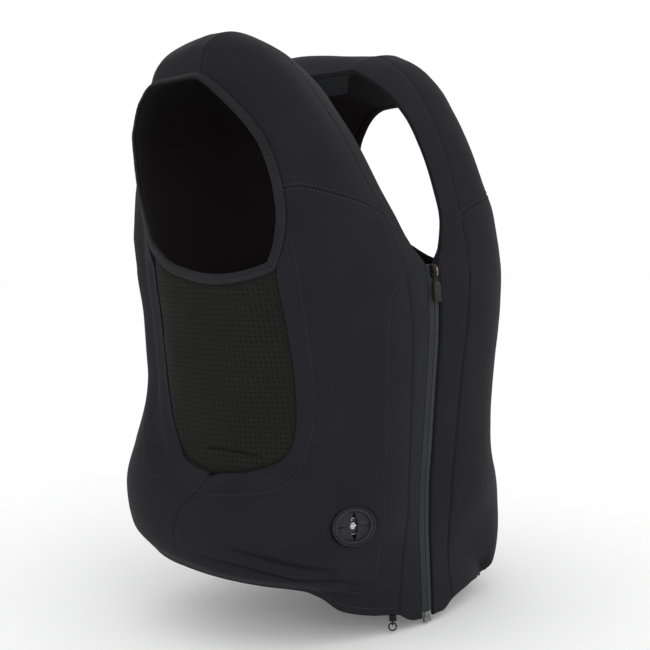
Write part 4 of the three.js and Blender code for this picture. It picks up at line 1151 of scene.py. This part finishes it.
# Rubber port on the right front
grommet_up = float(thickness(np.array(GROMMET_ANGLE), np.array(GROMMET_RISE)))
spot, axes = seat(GROMMET_ANGLE, GROMMET_RISE, grommet_up, -1)
port = (spot, GROMMET_OVAL[:, None] * np.stack([axes[0], axes[2], -axes[1]]))
ring_profile = round_profile([
    (GROMMET_INNER, -3.6), (20.2, -3.6), (20.4, 0.1), (21.0, 0.15), (21.1, 0.7), (20.6, 1.1), (20.0, 0.9),
    (19.65, 0.1), (19.0, 0.1), (18.5, 0.8), (17.2, 0.95), (16.5, 1.2), (15.8, 0.9), (GROMMET_INNER, -0.7),
], 0.3)
fitting("port_ring", port, [turned(ring_profile, 96)], RUBBER, ["grommet_ring"], 50)
SEWN_RADIUS, SEWN_COUNT = 19.3, 121
sewn_turn = np.linspace(0, 2 * math.pi, SEWN_COUNT)
circle = np.stack([SEWN_RADIUS * np.cos(sewn_turn), SEWN_RADIUS * np.sin(sewn_turn), np.full(SEWN_COUNT, 0.25)], 1)
port_out = np.tile(-axes[1], (SEWN_COUNT, 1))
stitches("port_stitching", [(mirrored(placed(circle, port)), mirrored(port_out))], "right", 1.9, 1.5, 0.36, 0.1)

LEAF_REACH, LEAF_THICK, LENS_TALL, LENS_HALF, SLIT_REACH = GROMMET_INNER - FIT, 1.2, 14.4, 3.1, 14.2
slit_turn = np.linspace(-1, 1, 17)
slit_wide = LENS_HALF * (1 - slit_turn**2) + 0.5
edge = [(w, LENS_TALL * t) for t, w in zip(slit_turn, slit_wide)]
wide = slit_wide[len(slit_wide) // 2]
cross = [(wide, -0.3), (9.0, -0.2), (SLIT_REACH, -0.7), (SLIT_REACH, 0.7), (9.0, 0.2), (wide, 0.3)]
half = [p for p in edge if p[1] < -0.8] + cross + [p for p in edge if p[1] > 0.8]
slit_ring = np.array(half + [(-x, -y) for x, y in half])
places, leaf_faces = pierced(LEAF_REACH * around(64), [slit_ring])
lip = bell(np.abs(places[:, 0]) - 3.0, 2.0) * smooth(LENS_TALL - np.abs(places[:, 1]), 0, 6)
dome = -0.5 + 1.0 * smooth(LEAF_REACH - np.linalg.norm(places, axis=1), 0, 1.6) - 0.45 * lip
points = np.concatenate([np.c_[places, dome], np.c_[places, dome - LEAF_THICK]])
leaf = (points, thick_sheet(leaf_faces, len(places)))
fitting("port_leaf", port, [leaf], LEAF, ["grommet_diaphragm"], 40)

VALVE_CORE, CORE_FLAT, CORE_LIFT, PIN_SPOT = 3.4, 0.45, 0.6, (-1.4, 6.6, 0)
valve = turned(round_profile([
    (0.01, -3.5), (8.9, -3.5), (8.9, -1.9), (8.3, -1.6), (7.9, -2.2), (7.7, -3.2), (3.3, -3.2), (3.1, -1.7),
    (2.6, -1.3), (1.2, -1.3), (0.8, -1.7), (0.01, -1.7),
], 0.2))
core = np.hypot(valve[0][:, 0], valve[0][:, 1]) < VALVE_CORE
valve[0][core, 1] = CORE_FLAT * valve[0][core, 1] + CORE_LIFT
fitting("port_valve", port, [valve], STEEL, ["grommet_coupling"], 40)
washer = round_profile([(3.45, -3.15), (7.5, -3.15), (7.4, -2.6), (5.4, -2.3), (3.55, -2.6)], 0.25)
fitting("port_washer", port, [turned(washer)], COIL, sharp=50)
pin = round_profile([(0.01, -2.5), (0.9, -2.5), (0.85, -1.7), (0.4, -1.35), (0.01, -1.3)], 0.15, 3)
points, faces = turned(pin, 16)
fitting("port_pins", port, [(points + np.array(PIN_SPOT), faces)], STEEL, sharp=40)


# Neck label: a woven strip with folded ends

LABEL_TURN, LABEL_DROP, LABEL_BELOW, LABEL_FOLD = 9.0, 21.0, 0.9, 5
turns = np.linspace(180 - LABEL_TURN, 180 + LABEL_TURN, 61)
drops = np.linspace(LABEL_BELOW, LABEL_BELOW + LABEL_DROP, 17)[:, None]
bow = 0.25 * np.sin(np.linspace(0, 5, len(turns))) * np.linspace(0, 1, len(drops))[:, None]
label_grids = []
for back in (1.4, 2.4):
    grid = np.repeat(wall(turns, nape_rise(turns))[None], len(drops), axis=0)
    grid[..., 1] += back + 0.12 * drops + bow
    grid[..., 2] -= drops
    label_grids.append(grid)
run = lengths(label_grids[0], 1)
hem = np.minimum(run, run[:, -1:] - run)
label_grids[0][..., 1] -= 0.3 * smooth(LABEL_FOLD - hem, 0, 0.6)
points, faces = slab(*label_grids)
label = make("nape_label", points, faces, LABEL, ["neck_label"],
             both_faces(run, np.broadcast_to(drops, run.shape)))


# Floor, light and camera

FLOOR_HEIGHT, FLOOR_HALF = -0.577, 9
floor_look, tree, bsdf = shader("pale_floor", (0.97, 0.97, 0.97), 0.9, specular=0.1)
cloud = grain(tree, add_node(tree, "TexCoord").outputs["Object"], 0.6, 3)
tree.links.new(tones(tree, cloud, (0.965, 0.965, 0.965), (0.98, 0.98, 0.98)), bsdf.inputs["Base Color"])
floor_mesh = bpy.data.meshes.new("floor")
corners = [(x * FLOOR_HALF, y * FLOOR_HALF, FLOOR_HEIGHT) for x, y in ((-1, -1), (1, -1), (1, 1), (-1, 1))]
floor_mesh.from_pydata(corners, [], [(0, 1, 2, 3)])
floor_mesh.materials.append(floor_look)
floor = bpy.data.objects.new("floor", floor_mesh)
bpy.context.scene.collection.objects.link(floor)

world = bpy.data.worlds.new("studio")
bpy.context.scene.world = world
world.use_nodes = True
backdrop = world.node_tree.nodes["Background"]
backdrop.inputs["Color"].default_value = (1, 1, 1, 1)
backdrop.inputs["Strength"].default_value = 1.02


def facing(name, data, place, right, back):
    """Lamp or camera at a place, looking away from its back."""
    up = np.cross(back, right)
    made = bpy.data.objects.new(name, data)
    made.matrix_world = Matrix([[right[k], up[k], back[k], place[k]] for k in range(3)] + [[0, 0, 0, 1]])
    bpy.context.scene.collection.objects.link(made)
    return made


MIDDLE = np.array([0, 0, -0.28])
for name, place, size, power in (
    ("key_light", (-1.4, -2.6, 0.4), 1.8, 16),
    ("fill_light", (2.1, -1.7, 0.1), 1.6, 3),
    ("side_light", (-2.6, 0.6, 0.3), 1.6, 6),
):
    light = bpy.data.lights.new(name, "AREA")
    light.shape, light.size, light.energy = "DISK", size, power
    back = unit(np.array(place) - MIDDLE)
    facing(name, light, place, unit(np.cross([0, 0, 1.0], back)), back)

CAMERA_TURN, CAMERA_TILT = math.radians(46), math.radians(4.6865)
CAMERA_AWAY, CAMERA_HEIGHT, CAMERA_ASIDE = 1.31744, -0.1728, 0.0054
right = np.array([math.cos(CAMERA_TURN), -math.sin(CAMERA_TURN), 0])
away = np.array([-math.sin(CAMERA_TURN), -math.cos(CAMERA_TURN), 0])
back = away * math.cos(CAMERA_TILT) + np.array([0, 0, math.sin(CAMERA_TILT)])
eye = away * CAMERA_AWAY + np.array([0, 0, CAMERA_HEIGHT]) + right * CAMERA_ASIDE
lens = bpy.data.cameras.new("camera")
lens.lens, lens.sensor_width = 67.56, 36
lens.clip_start, lens.clip_end = 0.05, 50
bpy.context.scene.camera = facing("camera", lens, eye, right, back)
bpy.context.scene.view_settings.view_transform = "Standard"
